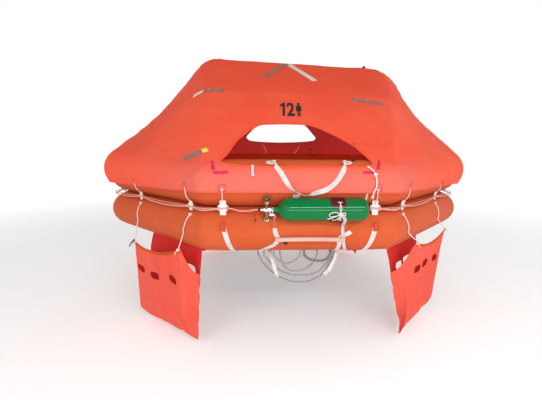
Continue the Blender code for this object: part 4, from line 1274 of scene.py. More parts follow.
def makePocket(place, degrees, towards):
    name = "ballast_pocket_" + place
    angle = math.radians(degrees)
    seed = degrees * 0.37
    low, high = pocket["t"]

    def spot(t, far, z):
        hang = pocketHang(place, t, far, z)
        return onSide(angle, towards, t + hang.x, pocketOut(far, z) + hang.y, z + hang.z)

    def bodyPlace(u, w):
        t, far = pocketRound(u)
        rim, foot = pocketRim(t, far), pocketFoot(far)
        foot += 0.016 * noise.noise(Vector((t * 14, far * 4, seed))) * far
        return spot(t, far, rim + (foot - rim) * w)

    def backPlace(u, w):
        t = low + (high - low) * u
        z = pocket["top"] + (pocket["backFoot"] - pocket["top"]) * w
        lean = 0.055 * (1 - u) * max(0.0, 1 - w / 0.2)  # its top corner is cut in
        return spot(t + lean, 0.0, z)

    def footPlace(u, w):
        t = low + (high - low) * u
        foot = pocketFoot(w) + 0.016 * noise.noise(Vector((t * 14, w * 4, seed))) * w
        return spot(t, w, foot)

    bm = gridSheet(96, 46, bodyPlace)
    addInto(bm, gridSheet(60, 60, backPlace))
    addInto(bm, gridSheet(60, 16, footPlace))
    bmesh.ops.remove_doubles(bm, verts=bm.verts, dist=0.003)
    bmesh.ops.recalc_face_normals(bm, faces=bm.faces)
    inner = [vert for vert in bm.verts if not vert.is_boundary]
    for _ in range(2):
        bmesh.ops.smooth_vert(bm, verts=inner, factor=0.5, use_axis_x=True, use_axis_y=True, use_axis_z=True)
    bm.normal_update()
    out = Vector((math.cos(angle), math.sin(angle), 0))
    middle = out * 1.37 + Vector((0, 0, -0.4))
    if sum(face.normal.dot(face.calc_center_median() - middle) for face in bm.faces) < 0:
        bmesh.ops.reverse_faces(bm, faces=bm.faces)
    bm.normal_update()
    moves = []
    for vert in bm.verts:
        t = vert.co.dot(Vector((-out.y, out.x, 0)))
        held = min(1.0, max(0.0, (pocket["top"] - vert.co.z) / 0.1))
        far = (vert.co.dot(out) - 1.30) / 0.15
        moves.append((vert, vert.normal * pocketFolds(t, far, vert.co.z, seed) * held))
    for vert, move in moves:
        vert.co += move
    piece = finishPiece(name + "_cloth", bm, ("pocket", "pocketInside"), (name,), 60, turn=False)
    thicken(piece, pocket["thick"], 1)
    shell = treeOf(piece)
    wide, tall = pocket["hole"]
    for row, (near, far) in zip(pocket["frontHoles"].get(place, pocket["holes"]), pocket["holeReach"]):
        for t, z in row:
            points = []
            for k in range(20):
                a = math.tau * k / 20
                x = math.copysign(abs(math.cos(a)) ** 0.6, math.cos(a)) * wide
                y = math.copysign(abs(math.sin(a)) ** 0.6, math.sin(a)) * tall
                droop = 0.006 * noise.noise(Vector((x * 20, t * 9 + seed, t)))
                points.append(onSide(angle, towards, t + x, near, z + y + droop))
            cutWith(piece, cutterFrom(points, out * (far - near)))
    piece.data.shade_smooth()
    piece.data.set_sharp_from_angle(angle=math.radians(60))

    # the binding sewn along the outer panel's rim
    rim = []
    for k in range(121):
        t, far = pocketRound(0.167 + 0.666 * k / 120)
        rim.append(shell.find_nearest(spot(t, far, pocketRim(t, far) - pocket["binding"] * 0.35))[0])
    rim = spread(smoothRun(rim[::4], 4), 0.010)
    bandPiece(name + "_binding", rim, [out] * len(rim), pocket["binding"], 0.0040, "binding")

    # its two cords, from the tube to the rim, each with a knot and a tail
    for number, (upper, lower) in enumerate(pocket["cords"]):
        radius = pocket["cordRadius"]
        reach = tubeRadius + radius + 2 * raft["gap"]
        first, last = (math.radians(each) for each in pocket["cordArc"])
        route = []
        for step in range(8):
            a = first + (last - first) * step / 7
            t = upper + (lower - upper) * step / 10
            route.append(onSide(angle, towards, t, apothem + reach * math.cos(a), lowerZ + reach * math.sin(a)))
        hang = pocketHang(place, lower, 1.0, pocket["cordZ"])
        middle = (lowerZ + reach * math.sin(last) + pocket["cordZ"] + hang.z) / 2
        held = lower + hang.x
        for n, t, z in ((1.4528, (held + t) / 2, middle), (1.452, held, hang.z - 0.088), (1.452, held, hang.z - 0.0997)):
            route.append(onSide(angle, towards, t, n, z))
        bm = sweep(circle(radius * 0.8), framesAlong(spread(smoothRun(route, 6), 0.006)))
        addKnot(bm, onSide(angle, towards, held, 1.457, hang.z - 0.104), 0.010, 0.0034, angle)
        addKnot(bm, onSide(angle, towards, upper, apothem + reach * math.cos(first), lowerZ + reach * math.sin(first)),
                0.009, 0.0034, angle)
        tail = [onSide(angle, towards, held - x, 1.459 + n, hang.z + z) for x, n, z in (
            (0.0, 0.0, -0.106), (0.012, 0.003, -0.116), (0.030, 0.002, -0.128), (0.040, 0.0, -0.142),
        )]
        addInto(bm, sweep(circle(0.003, 8), framesAlong(spread(smoothRun(tail, 5), 0.005))))
        finishPiece(f"{name}_cord_{number + 1}_rope", bm, "rope", (f"{name}_cord_{number + 1}",))
    return shell


for each in pocket["places"]:
    makePocket(*each)


def makePocketTail():
    # a short black strap end at the left front pocket's outer corner
    angle = math.radians(-135)
    run = [onSide(angle, -1, t, n, z) for t, n, z in (
        (-0.222, 1.458, -0.100), (-0.252, 1.462, -0.122), (-0.290, 1.460, -0.150), (-0.322, 1.455, -0.172),
    )]
    run = spread(smoothRun(run, 5), 0.008)
    out = Vector((math.cos(angle), math.sin(angle), 0))
    bandPiece("pocketStrapEnd", run, [(out + Vector((0, 0, 0.6))).normalized()] * len(run), 0.022, 0.003, "black")


makePocketTail()
print("pockets made")

# Grab lines in the groove between the tubes, on sewn patches
grabLines = {
    "radius": 0.005,
    "patch": (0.066, 0.090, 0.006),
    "stops": ((0, 0.46), (1, -0.477), (1, 0.157), (2, -0.40), (2, 0.40), (3, -0.157), (3, 0.477), (4, -0.46)),
    "bigStops": ((0, 0.46), (4, -0.46)),
    "sag": 0.045,
    "mostSag": 0.022,
    "levelEnd": 0.010,
    "cross": ((0.038, 0.090, 0.0050), (0.062, 0.034, 0.0062)),
    "small": ((0.030, 0.058, 0.0045), (0.046, 0.026, 0.0055)),
}
patchN = apothem + math.sqrt(tubeRadius**2 - (upperZ - jointZ - grabLines["patch"][1] / 2) ** 2) + raft["gap"]
ropeN = patchN + grabLines["patch"][2] + 0.003
halfSide = ropeN * math.tan(corner)


def grabHeight(spot, knots, share=1.0):
    for low, high in zip(knots, knots[1:]):
        if low <= spot <= high:
            part = (spot - low - grabLines["levelEnd"]) / (high - low - 2 * grabLines["levelEnd"])
            part = min(1.0, max(0.0, part))
            return jointZ - share * min(grabLines["sag"] * (high - low), grabLines["mostSag"]) * 4 * part * (1 - part)
    return jointZ


def grabPlace(flip, spot, n, z):
    side = min(7, int((spot + halfSide) // (2 * halfSide)))
    return onRing(flip, side, spot - 2 * halfSide * side, n, z)


def makeGrabLine(node, flip, lastSpot):
    knots = [2 * halfSide * side + t for side, t in grabLines["stops"]]
    first, last = knots[0] - 0.023, lastSpot
    if last > knots[-1] + 0.1:
        knots.append(last)
    bm = bmesh.new()
    for share, offset, radius in ((1.0, 0.0, 0.0046), (0.45, 0.006, 0.0028)):
        points = []
        for k in range(241):
            spot = first + (last - first) * k / 240
            near = min(abs(spot - knot) for knot in knots)
            lift = offset * min(1.0, near / 0.08)
            points.append(grabPlace(flip, spot, ropeN + lift * 0.5, grabHeight(spot, knots, share) + lift))
        points = spread(smoothRun(points[::3] + points[-1:], 3), 0.012)
        addInto(bm, sweep(circle(radius), framesAlong(points)))
    for spot in knots[:8]:
        for shift in (-0.026, 0.026):
            middle = grabPlace(flip, spot + shift, ropeN + 0.001, jointZ)
            addKnot(bm, middle, 0.0075, 0.0036, spot)
    finishPiece(node + "_rope", bm, "pinkRope", (node,))


for node, flip, (side, t) in (("grab_line_left", 1, (4, -0.46)), ("grab_line_right", -1, (4, 0.4267))):
    makeGrabLine(node, flip, 2 * halfSide * side + t)


def stitched(bm, corners):
    # a row of stitching round a patch, lying on the canopy
    run = []
    for a, b in zip(corners, corners[1:] + corners[:1]):
        run += [a.lerp(b, k / 12) for k in range(12)]
    skins = [outerSkin(point) for point in run + run[:1]]
    points = [spot + normal * 0.0008 for spot, normal in skins]
    addInto(bm, sweep(circle(0.0015, 6), framesAlong(points)))


def hemSkin(start, out):
    # the canopy's outer face just above its lower edge, from a place outside it and below
    for rise in range(12):
        hit, away = wholeCanopy.ray_cast(start + Vector((0, 0, 0.006 * rise + 0.006)), -out, 0.6)[:2]
        if hit:
            return hit, away if away.dot(out) > 0 else -away


def makeAnchors():
    # a cross of webbing on each patch, and a cord from it up to the canopy's hem
    patches, cords, threads = bmesh.new(), bmesh.new(), bmesh.new()
    for flip in (1, -1):
        for side, t in grabLines["stops"]:
            big = (side, t) in grabLines["bigStops"]
            across = onRing(flip, side, 1, 0, 0) - onRing(flip, side, 0, 0, 0)
            out = onRing(flip, side, 0, 1, 0)
            for size in grabLines["cross" if big else "small"]:
                place = onRing(flip, side, t, patchN + size[2] / 2 + 0.0008, jointZ + (0.002 if big else 0.004))
                addPad(patches, axesAt(place, across, out), size)
            hem, away = hemSkin(onRing(flip, side, t, 1.75, 0.320), out)
            top, foot = hem + away * 0.003, onRing(flip, side, t, patchN + 0.010, jointZ + 0.030)
            run = [top + Vector((0, 0, 0.018)), top, top.lerp(foot, 0.5) + out * 0.010, foot]
            addInto(cords, sweep(circle(0.0026, 8), framesAlong(spread(smoothRun(run, 5), 0.006))))
            addKnot(cords, foot, 0.0075, 0.0030, flip + side)
            addKnot(cords, top + Vector((0, 0, 0.016)), 0.0060, 0.0024, side)
            wide, tall = (0.021, 0.020) if big else (0.013, 0.021)
            middle = hem + Vector((0, 0, 0.026))
            spots = []
            for a, b in ((-1, -1), (1, -1), (1, 1), (-1, 1)):
                spots.append(middle + across * a * wide + Vector((0, 0, b * tall)))
            stitched(threads, spots)
    finishPiece("anchorPatches", patches, "whitePatch")
    finishPiece("hemTies", cords, "rope")
    finishPiece("hemStitching", threads, "stitch")


makeAnchors()

# The firing line, from the left front patch to the cylinder's valve
firingLine = (
    (-0.4264, -ropeN, jointZ), (-0.4184, -ropeN, jointZ), (-0.40, -ropeN, jointZ - 0.004),
    (-0.36, -ropeN - 0.006, jointZ - 0.014), (-0.32, -ropeN - 0.018, jointZ - 0.012),
    (-0.285, -1.4634, jointZ - 0.004), (-0.262, -1.4634, jointZ), (-0.2503, -1.4634, jointZ),
)
points = spread(smoothRun(firingLine, 6), 0.006)
ropePiece("firingLineRope", points, 0.0045, "pinkRope", ("firing_line",))
print("grab lines made")

# Webbing and cord over the skirt at the entrance
entranceStrap = {
    "route": (
        (-0.146, 43), (-0.120, 28), (-0.065, -4), (-0.010, -16), (0.050, -19),
        (0.140, -10), (0.200, 6), (0.245, 28), (0.260, 42),
    ),
    "width": 0.030,
    "rolls": (
        (0.0, 0), (0.17, 6), (0.29, 50), (0.37, 74), (0.45, 62), (0.56, 6), (0.65, -14), (0.76, -30), (0.88, -4), (1.0, 0),
    ),
}
sillCord = ((0.400, 44), (0.436, 28), (0.446, 3), (0.432, -16), (0.428, -26))


def rollAt(share, rolls):
    for (low, a), (high, b) in zip(rolls, rolls[1:]):
        if share <= high:
            part = (share - low) / (high - low)
            return math.radians(a + (b - a) * part * part * (3 - 2 * part))
    return 0.0


def makeEntranceStrap():
    points = spread(overTube(entranceStrap["route"], canopy["skirtRadius"] + 0.0032, upperZ), 0.010)
    normals, run = [], []
    last = len(points) - 1
    for k, point in enumerate(points):
        roll = rollAt(k / last, entranceStrap["rolls"])
        ahead = (points[min(k + 1, last)] - points[max(k - 1, 0)]).normalized()
        normal = offTube(point, upperZ)
        normals.append(Matrix.Rotation(roll, 3, ahead) @ normal)
        run.append(point + normal * abs(math.sin(roll)) * entranceStrap["width"] / 2)
    bandPiece("entranceStrapBand", run, normals, entranceStrap["width"], replacing=("entrance_strap",))
    # rings of cord where the strap ends on the sill
    bm = bmesh.new()
    for end, lean in ((points[0], -1), (points[-1], 1)):
        knot = onTube(end.x + 0.010 * lean, 61, tubeRadius + 0.006, upperZ)
        bend = onTube(end.x + 0.004 * lean, 52, canopy["skirtRadius"] + 0.010, upperZ)
        rise = spread(smoothRun([end + offTube(end, upperZ) * 0.004, bend, knot], 4), 0.005)
        addInto(bm, sweep(circle(0.0042, 8), framesAlong(rise)))
        addKnot(bm, end + offTube(end, upperZ) * 0.005, 0.010, 0.0038, lean)
        addKnot(bm, knot, 0.012, 0.0042, lean)
        for reach, rise in ((0.032, 0.004), (0.050, -0.004)):
            run = []
            for k in range(13):
                a = math.pi * k / 12
                spot = Vector((knot.x + lean * reach * math.sin(a) * 0.9, knot.y, knot.z))
                spot += Vector((0, 1, 0)) * (0.018 * math.cos(a)) + Vector((0, 0, rise))
                near, normal = treeTop.find_nearest(spot)[:2]
                run.append(near + normal * 0.0042)
            addInto(bm, sweep(circle(0.0034, 8), framesAlong(spread(smoothRun(run, 3), 0.006))))
    finishPiece("sillRings", bm, "rope")


upperSkin = bpy.data.objects["upperTubeSkin"]
treeTop = treeOf(upperSkin)
makeEntranceStrap()
points = spread(overTube(sillCord, canopy["skirtRadius"] + 0.0046, upperZ), 0.006)
bm = sweep(circle(0.004), framesAlong(points))
addKnot(bm, points[len(points) // 3], 0.009, 0.0034)
addKnot(bm, points[-1] + Vector((0, -0.004, 0)), 0.009, 0.0034, 1.0)
finishPiece("sillCordRope", bm, "rope", ("sill_cord",))


def makeSillStrap():
    # a short webbing tab that hangs over the sill, left of the entrance's middle
    run = spread(overTube(((-0.284, 46), (-0.283, 33), (-0.281, 20)), canopy["skirtRadius"] + 0.0030, upperZ), 0.008)
    bandPiece("sillTab", run, [offTube(point, upperZ) for point in run], 0.015)


makeSillStrap()

# Straps over the lower tube: righting straps, and those that hold the rung
boarding = {
    "width": 0.030,
    "top": 22.0,
    "righting": (("righting_strap_left", -0.462, -0.385), ("righting_strap_right", 0.462, 0.40)),
    "rungStraps": (
        ("rung_strap_left", ((-0.152, 26), (-0.148, 0), (-0.132, -14), (-0.150, -32), (-0.205, -50), (-0.250, -68))),
        ("rung_strap_right", ((0.335, 14), (0.300, 0), (0.240, -14), (0.245, -32), (0.243, -50), (0.238, -68))),
    ),
    "rungX": (-0.150, 0.262),
    "rungAngle": -13,
    "rungRadius": 0.0135,
}
strapRadius = tubeRadius + 2 * raft["gap"] + 0.0015
lowerSkinTree = treeOf(bpy.data.objects["lowerTubeSkin"])


def makeRightingStraps():
    threads = bmesh.new()
    for node, topX, lowX in boarding["righting"]:
        points, normals = [], []
        for side in (-1, 1):
            leg = []
            for k in range(37):
                degrees = boarding["top"] - (boarding["top"] + 90) * k / 36
                x = topX + (lowX - topX) * k / 36
                leg.append(onTube(x, degrees, strapRadius, lowerZ, side))
            if side > 0:
                leg.reverse()
            points += leg
        points = spread(points, 0.014)
        for point in points:
            under = abs(point.y) < apothem
            normals.append(Vector((0, 0, -1)) if under else offTube(point, lowerZ))
        bandPiece(node + "_band", points, normals, boarding["width"], replacing=(node,))
        for side in (-1, 1):  # the patch sewn over the strap's end
            patch = [onTube(topX, degrees, strapRadius + 0.0026, lowerZ, side) for degrees in range(25, 2, -2)]
            bandPiece(f"{node}_patch_{'front' if side < 0 else 'rear'}", patch, [offTube(p, lowerZ) for p in patch],
                      0.040, 0.0018, "tube")
            for inset in (0.0, 0.007):
                spots = []
                for a, degrees in ((-1, 5), (1, 5), (1, 23), (-1, 23)):
                    middle = 14 + (degrees - 14) * (1 - inset * 40)
                    spots.append(onTube(topX + a * (0.016 - inset), middle, strapRadius + 0.004, lowerZ, side))
                run = []
                for a, b in zip(spots, spots[1:] + spots[:1]):
                    run += [a.lerp(b, k / 6) for k in range(6)]
                run = [p + offTube(p, lowerZ) * (strapRadius + 0.0042 - (p - onTube(p.x, 0, 0, lowerZ, side)).length) for p in run]
                addInto(threads, sweep(circle(0.0011, 6), framesAlong(run + run[:1])))
    finishPiece("strapStitching", threads, "stitch")


makeRightingStraps()


def makeBoarding():
    for node, route in boarding["rungStraps"]:
        points = spread(overTube(route, strapRadius, lowerZ), 0.010)
        bandPiece(node + "_band", points, [offTube(p, lowerZ) for p in points], boarding["width"] * 0.9, replacing=(node,))
        patch = spread(overTube(route, strapRadius + 0.0024, lowerZ), 0.010)[:5]
        bandPiece(node + "_patch", patch, [offTube(p, lowerZ) for p in patch], 0.036, 0.0016, "tube")
    # the rung: a padded roll of cloth, its ends gathered over the straps
    left, right = boarding["rungX"]
    radius = boarding["rungRadius"]
    centre = onTube(0, boarding["rungAngle"], strapRadius + 0.0015 + 2 * raft["gap"] + radius, lowerZ)
    profile = [(left, 0), (left, radius * 0.45), (left + 0.004, radius * 0.72), (left + 0.016, radius * 0.96)]
    for k in range(1, 24):
        share = k / 24
        profile.append((left + 0.016 + (right - left - 0.032) * share, radius * (0.985 + 0.015 * math.sin(k * 2.4))))
    profile += [(right - 0.016, radius * 0.96), (right - 0.004, radius * 0.72), (right, radius * 0.45), (right, 0)]
    bm = turnedShape(profile, centre, (1, 0, 0), (0, 0, 1), 28)
    for vert in bm.verts:
        vert.co.z += 0.004 * math.cos((vert.co.x - 0.056) / 0.206 * math.pi / 2) - 0.004
    finishPiece("boardingRung", bm, "rungCloth", ("boarding_rung",), 45)


makeBoarding()


print("straps made")

# Gas cylinder, its valve, inlets and patches
gas = {
    "radius": 0.068,
    "left": -0.16,
    "right": 0.395,
    "dome": 0.035,
    "shoulder": (
        (0.0, 0.0), (0.0, 0.0145), (0.003, 0.0160), (0.024, 0.0160), (0.028, 0.0175), (0.033, 0.0255), (0.039, 0.0360),
        (0.046, 0.0465), (0.054, 0.0560), (0.062, 0.0630), (0.070, 0.0668), (0.078, 0.0680),
    ),
    "valveX": -0.200,
    "outletRise": 0.040,
    "patchX": (0.168, 0.258),
    "patchArc": (24.0, 130.0),
    "laceX": 0.220,
}
gasY = -(apothem + math.sqrt((gas["radius"] + tubeRadius + raft["gap"]) ** 2 - (upperZ - jointZ) ** 2))


def onGas(x, degrees, rise=0.0):
    a = math.radians(degrees)
    reach = gas["radius"] + rise
    return Vector((x, gasY - reach * math.cos(a), jointZ + reach * math.sin(a)))


def makeCylinder():
    left, right, radius = gas["left"], gas["right"], gas["radius"]
    profile = [(left + along, wide) for along, wide in gas["shoulder"]]
    for k in range(14):
        a = math.pi / 2 * k / 13
        profile.append((right - gas["dome"] * (1 - math.sin(a) ** 0.9), radius * (0.30 + 0.70 * max(0.0, math.cos(a)) ** 0.75)))
    profile += [(right, 0)]
    bm = turnedShape(profile, (0, gasY, jointZ), (1, 0, 0), (0, 0, 1), 72)
    finishPiece("gasCylinder", bm, "green", ("gas_cylinder",), 35)


def makeValve():
    x = gas["valveX"]
    centre = (0, gasY, jointZ)
    neck = gas["left"] - 0.0003
    profile = (
        (neck, 0), (neck, 0.0135), (-0.162, 0.0140), (-0.170, 0.0140), (-0.172, 0.0115), (-0.175, 0.0115),
        (-0.178, 0.0150), (-0.184, 0.0158), (-0.212, 0.0158), (-0.218, 0.0140), (-0.219, 0.0105), (-0.222, 0.0085),
        (-0.236, 0.0085), (-0.238, 0.0066), (-0.248, 0.0066), (-0.250, 0.0048), (-0.250, 0),
    )
    body = turnedShape(profile, centre, (1, 0, 0), (0, 0, 1), 48)
    nut = bmesh.new()  # the six-sided nut that holds it on the cylinder's neck
    bmesh.ops.create_cone(nut, cap_ends=True, segments=6, radius1=0.0165, radius2=0.0165, depth=0.009)
    rims = [edge for edge in nut.edges if abs(edge.verts[0].co.z - edge.verts[1].co.z) < 1e-6]
    bmesh.ops.bevel(nut, geom=rims, offset=0.0010, segments=2, profile=0.5, affect="EDGES", material=-1)
    turn = Matrix.Translation((-0.166, gasY, jointZ)) @ Matrix.Rotation(math.pi / 2, 4, "Y")
    bmesh.ops.transform(nut, matrix=turn, verts=nut.verts)
    addInto(body, nut)
    # the pull below it, on a short stem
    stem = Vector((-0.184, gasY - 0.004, jointZ - 0.012))
    grip = (
        (0.0, 0), (0.0, 0.0050), (0.002, 0.0080), (0.012, 0.0095), (0.028, 0.0095), (0.033, 0.0075), (0.034, 0.0040), (0.034, 0),
    )
    addInto(body, sweep(circle(0.0035, 12), framesAlong([stem, stem + Vector((0.006, 0, -0.008)), stem + Vector((0.010, 0, -0.014))])))
    addInto(body, turnedShape(grip, (-0.189, gasY - 0.004, jointZ - 0.029), (1, 0, 0), (0, 0, 1), 28))
    finishPiece("cylinderValve", body, "chrome", ("cylinder_valve",), 30)
    outlets = (
        (-0.050, 0), (-0.050, 0.0100), (-0.048, 0.0120), (-0.040, 0.0120), (-0.038, 0.0105), (-0.036, 0.0105),
        (-0.034, 0.0120), (-0.029, 0.0120), (-0.027, 0.0085), (-0.014, 0.0072), (0.014, 0.0072), (0.026, 0.0090),
        (0.029, 0.0150), (0.032, 0.0180), (0.038, 0.0188), (0.046, 0.0180), (0.051, 0.0150), (0.054, 0.0100), (0.054, 0),
    )
    bm = turnedShape(outlets, (x, gasY, jointZ), (0, 0, 1), (1, 0, 0), 40)
    finishPiece("valveOutlets", bm, "brass", (), 30)
    # the dark cap on the rod, and the thin line that hangs from it
    cap = turnedShape(((-0.2512, 0), (-0.2516, 0.0058), (-0.2490, 0.0086), (-0.2390, 0.0086), (-0.2390, 0)), centre,
                      (1, 0, 0), (0, 0, 1), 32)
    run = smoothRun(((-0.249, gasY - 0.006, jointZ - 0.006), (-0.262, gasY - 0.014, jointZ - 0.018),
                     (-0.268, gasY - 0.016, jointZ - 0.038), (-0.267, gasY - 0.014, jointZ - 0.062)), 6)
    addInto(cap, sweep(circle(0.0016, 8), framesAlong(run)))
    addKnot(cap, run[-1], 0.0045, 0.0022)
    finishPiece("valveCap", cap, "black", (), 30)
    run = smoothRun(((-0.155, gasY - 0.004, jointZ - 0.029), (-0.150, gasY - 0.002, jointZ - 0.048),
                     onTube(-0.156, 34, strapRadius + 0.006, lowerZ), onTube(-0.152, 27, strapRadius + 0.003, lowerZ)), 6)
    ropePiece("pullCord", spread(run, 0.005), 0.0020)


def makeInlets():
    for name, tubeZ, side in (("inlet_valve_upper", upperZ, 1), ("inlet_valve_lower", lowerZ, -1)):
        start = Vector((gas["valveX"], gasY, jointZ + side * gas["outletRise"]))
        centre = Vector((gas["valveX"], -apothem, tubeZ))
        way = (centre - start).normalized()
        seat = (centre - start).length - tubeRadius
        profile = [(0.010, 0), (0.010, 0.009)]
        for k in range(3):
            rib = 0.010 + (seat - 0.022) * (k + 0.5) / 3
            profile += [(rib - 0.003, 0.0086), (rib - 0.002, 0.0094), (rib + 0.002, 0.0094), (rib + 0.003, 0.0086)]
        profile += [(seat - 0.009, 0.0095), (seat - 0.006, 0.0170), (seat - 0.006, 0.0245), (seat - 0.0045, 0.0258)]
        profile += [(seat + 0.0015, 0.0260), (seat + 0.0015, 0)]
        bm = turnedShape(profile, start, way, (1, 0, 0), 36)
        finishPiece(name.replace("inlet_valve_", "inletValve_"), bm, "brass", (name,), 30)


def makeCradlePatches():
    threads = bmesh.new()
    for name, side, tubeZ in (("cradle_patch_upper", 1, upperZ), ("cradle_patch_lower", -1, lowerZ)):
        low, high = gas["patchX"]
        first, last = gas["patchArc"]

        def place(u, w, rise=0.0, side=side):
            ripple = 0.0012 + 0.0009 * noise.noise(Vector((u * 4, w * 5, side)))
            x = low + (high - low) * (0.5 + (u - 0.5) * (1 - 0.10 * w * w))
            return onGas(x, side * (first + (last - first) * w), ripple + rise)

        bm = gridSheet(24, 36, place)
        for vert in bm.verts:  # where the patch reaches the tube it lies on it
            axis = Vector((vert.co.x, -apothem, tubeZ))
            away = vert.co - axis
            if away.length < tubeRadius + 0.0006:
                vert.co = axis + away.normalized() * (tubeRadius + 0.0006)
        bmesh.ops.recalc_face_normals(bm, faces=bm.faces)
        middle = bm.faces[:][0]
        if middle.normal.dot(middle.calc_center_median() - Vector((0.2, gasY, jointZ))) < 0:
            bmesh.ops.reverse_faces(bm, faces=bm.faces)
        bm.normal_update()
        bmesh.ops.solidify(bm, geom=bm.faces[:], thickness=-0.0018)
        finishPiece(name + "_cloth", bm, "maroon", (name,), 50)
        outline = ((0.06, 0.05), (0.94, 0.05), (0.94, 0.62), (0.06, 0.62), (0.06, 0.05))
        run = []
        for (a, b), (c, d) in zip(outline, outline[1:]):
            run += [place(a + (c - a) * k / 8, b + (d - b) * k / 8, 0.0024) for k in range(8)]
        addInto(threads, sweep(circle(0.0007, 5), framesAlong(run + run[:1])))
    finishPiece("cradleStitching", threads, "stitch")


def makeLacing():
    # white lacing from patch to patch, with a bow, and grey webbing from the bow down over the lower tube
    bm = bmesh.new()
    x = gas["laceX"]
    for off, sway in ((-0.003, 0.003), (0.003, -0.004)):
        run = [onGas(x + off + sway * math.sin(k * 0.9), 44 - 88 * k / 16, 0.0062) for k in range(17)]
        addInto(bm, sweep(circle(0.0028, 8), framesAlong(run)))
    for off, degrees in ((-0.013, 44), (0.011, 43), (-0.012, -43), (0.013, -44)):
        run = [onGas(x, degrees * 0.93, 0.0062), onGas(x + off / 2, degrees, 0.0082), onGas(x + off, degrees * 1.02, 0.0062)]
        addInto(bm, sweep(circle(0.0028, 8), framesAlong(spread(smoothRun(run, 5), 0.004))))
    addKnot(bm, onGas(x, -11, 0.0092), 0.012, 0.0036, 0.4)
    loops = (
        ((0.000, -11), (-0.026, -2), (-0.052, -4), (-0.066, -12), (-0.058, -22), (-0.030, -20), (0.000, -11)),
        ((0.000, -11), (-0.020, -18), (-0.044, -26), (-0.064, -33), (-0.074, -30)),
        ((0.000, -11), (0.018, -4), (0.028, -8), (0.022, -16), (0.000, -11)),
        ((0.000, -11), (-0.010, -26), (-0.024, -38), (-0.046, -42)),
    )
    for loop in loops:
        run = [onGas(x + along, degrees, 0.0104) for along, degrees in loop]
        addInto(bm, sweep(circle(0.0027, 8), framesAlong(spread(smoothRun(run, 6), 0.004))))
    finishPiece("cradleLacing", bm, "rope")

    run = [onGas(along, degrees, 0.0085) for along, degrees in ((0.230, -14), (0.241, -26), (0.250, -42), (0.254, -58))]
    run += [onTube(along, degrees, strapRadius + 0.0042, lowerZ) for along, degrees in (
        (0.256, 14), (0.259, -4), (0.267, -24), (0.284, -46), (0.306, -66), (0.335, -80),
    )]
    run = spread(smoothRun(run, 6), 0.008)
    normals = []
    for point in run:
        low = offTube(point, lowerZ)
        off = Vector((0, point.y - gasY, point.z - jointZ)).normalized()
        share = min(1.0, max(0.0, (0.205 - point.z) / 0.06))
        normals.append((off * (1 - share) + low * share).normalized())
    bandPiece("lowWebbing", run, normals, 0.020, 0.0022, "greyWebbing")
    # webbing tabs on the upper tube: one above the cylinder, one at its right end
    for number, (along, width, degrees) in enumerate(((-0.024, 0.041, (-22, -31)), (0.399, 0.011, (-20, -40)))):
        run = [onTube(along, degrees[0] + (degrees[1] - degrees[0]) * k / 5, tubeRadius + 0.003, upperZ) for k in range(6)]
        bandPiece(f"gasTab_{number + 1}", run, [offTube(point, upperZ) for point in run], width, 0.0024)


makeCylinder()
makeValve()
makeInlets()
makeCradlePatches()
makeLacing()
print("gas cylinder made")

# Small fittings
fittings = {
    "topUps": (("topup_valve_lower", -0.085, -27, lowerZ), ("topup_valve_upper", 0.335, 76, upperZ)),
    "topUpProfile": (
        (0.0004, 0), (0.0004, 0.0126), (0.0030, 0.0130), (0.0050, 0.0130), (0.0064, 0.0118), (0.0064, 0.0092),
        (0.0046, 0.0086), (0.0046, 0.0056), (0.0078, 0.0050), (0.0078, 0),
    ),
    "lampProfile": (
        (0.0003, 0), (0.0003, 0.0180), (0.0050, 0.0180), (0.0080, 0.0168), (0.0095, 0.0138), (0.0140, 0.0132),
        (0.0185, 0.0108), (0.0210, 0.0062), (0.0220, 0),
    ),
    "lampX": 0.78,
    "tow": (0.12, 0.10),
}


def makeFittings():
    for name, x, degrees, tubeZ in fittings["topUps"]:
        way = offTube(onTube(x, degrees, 1, tubeZ), tubeZ)
        foot = onTube(x, degrees, tubeRadius, tubeZ)
        bm = turnedShape(fittings["topUpProfile"], foot, way, (1, 0, 0), 32)
        finishPiece(name + "_cap", bm, "black", (name,), 30)
    for before, here in zip(archPoints, archPoints[1:]):
        if before.x <= fittings["lampX"] <= here.x and here.x < 1.1:
            run = (here - before).normalized()
            spot = before + run * ((fittings["lampX"] - before.x) / run.x)
    way = Vector((-run.y, 0, run.x))
    base = Vector((spot.x, 0, spot.y)) + way * (canopy["wrap"] + raft["gap"])
    bm = turnedShape(fittings["lampProfile"], base, way, (0, 1, 0), 36)
    finishPiece("canopyLamp", bm, "black", ("canopy_lamp",), 30)


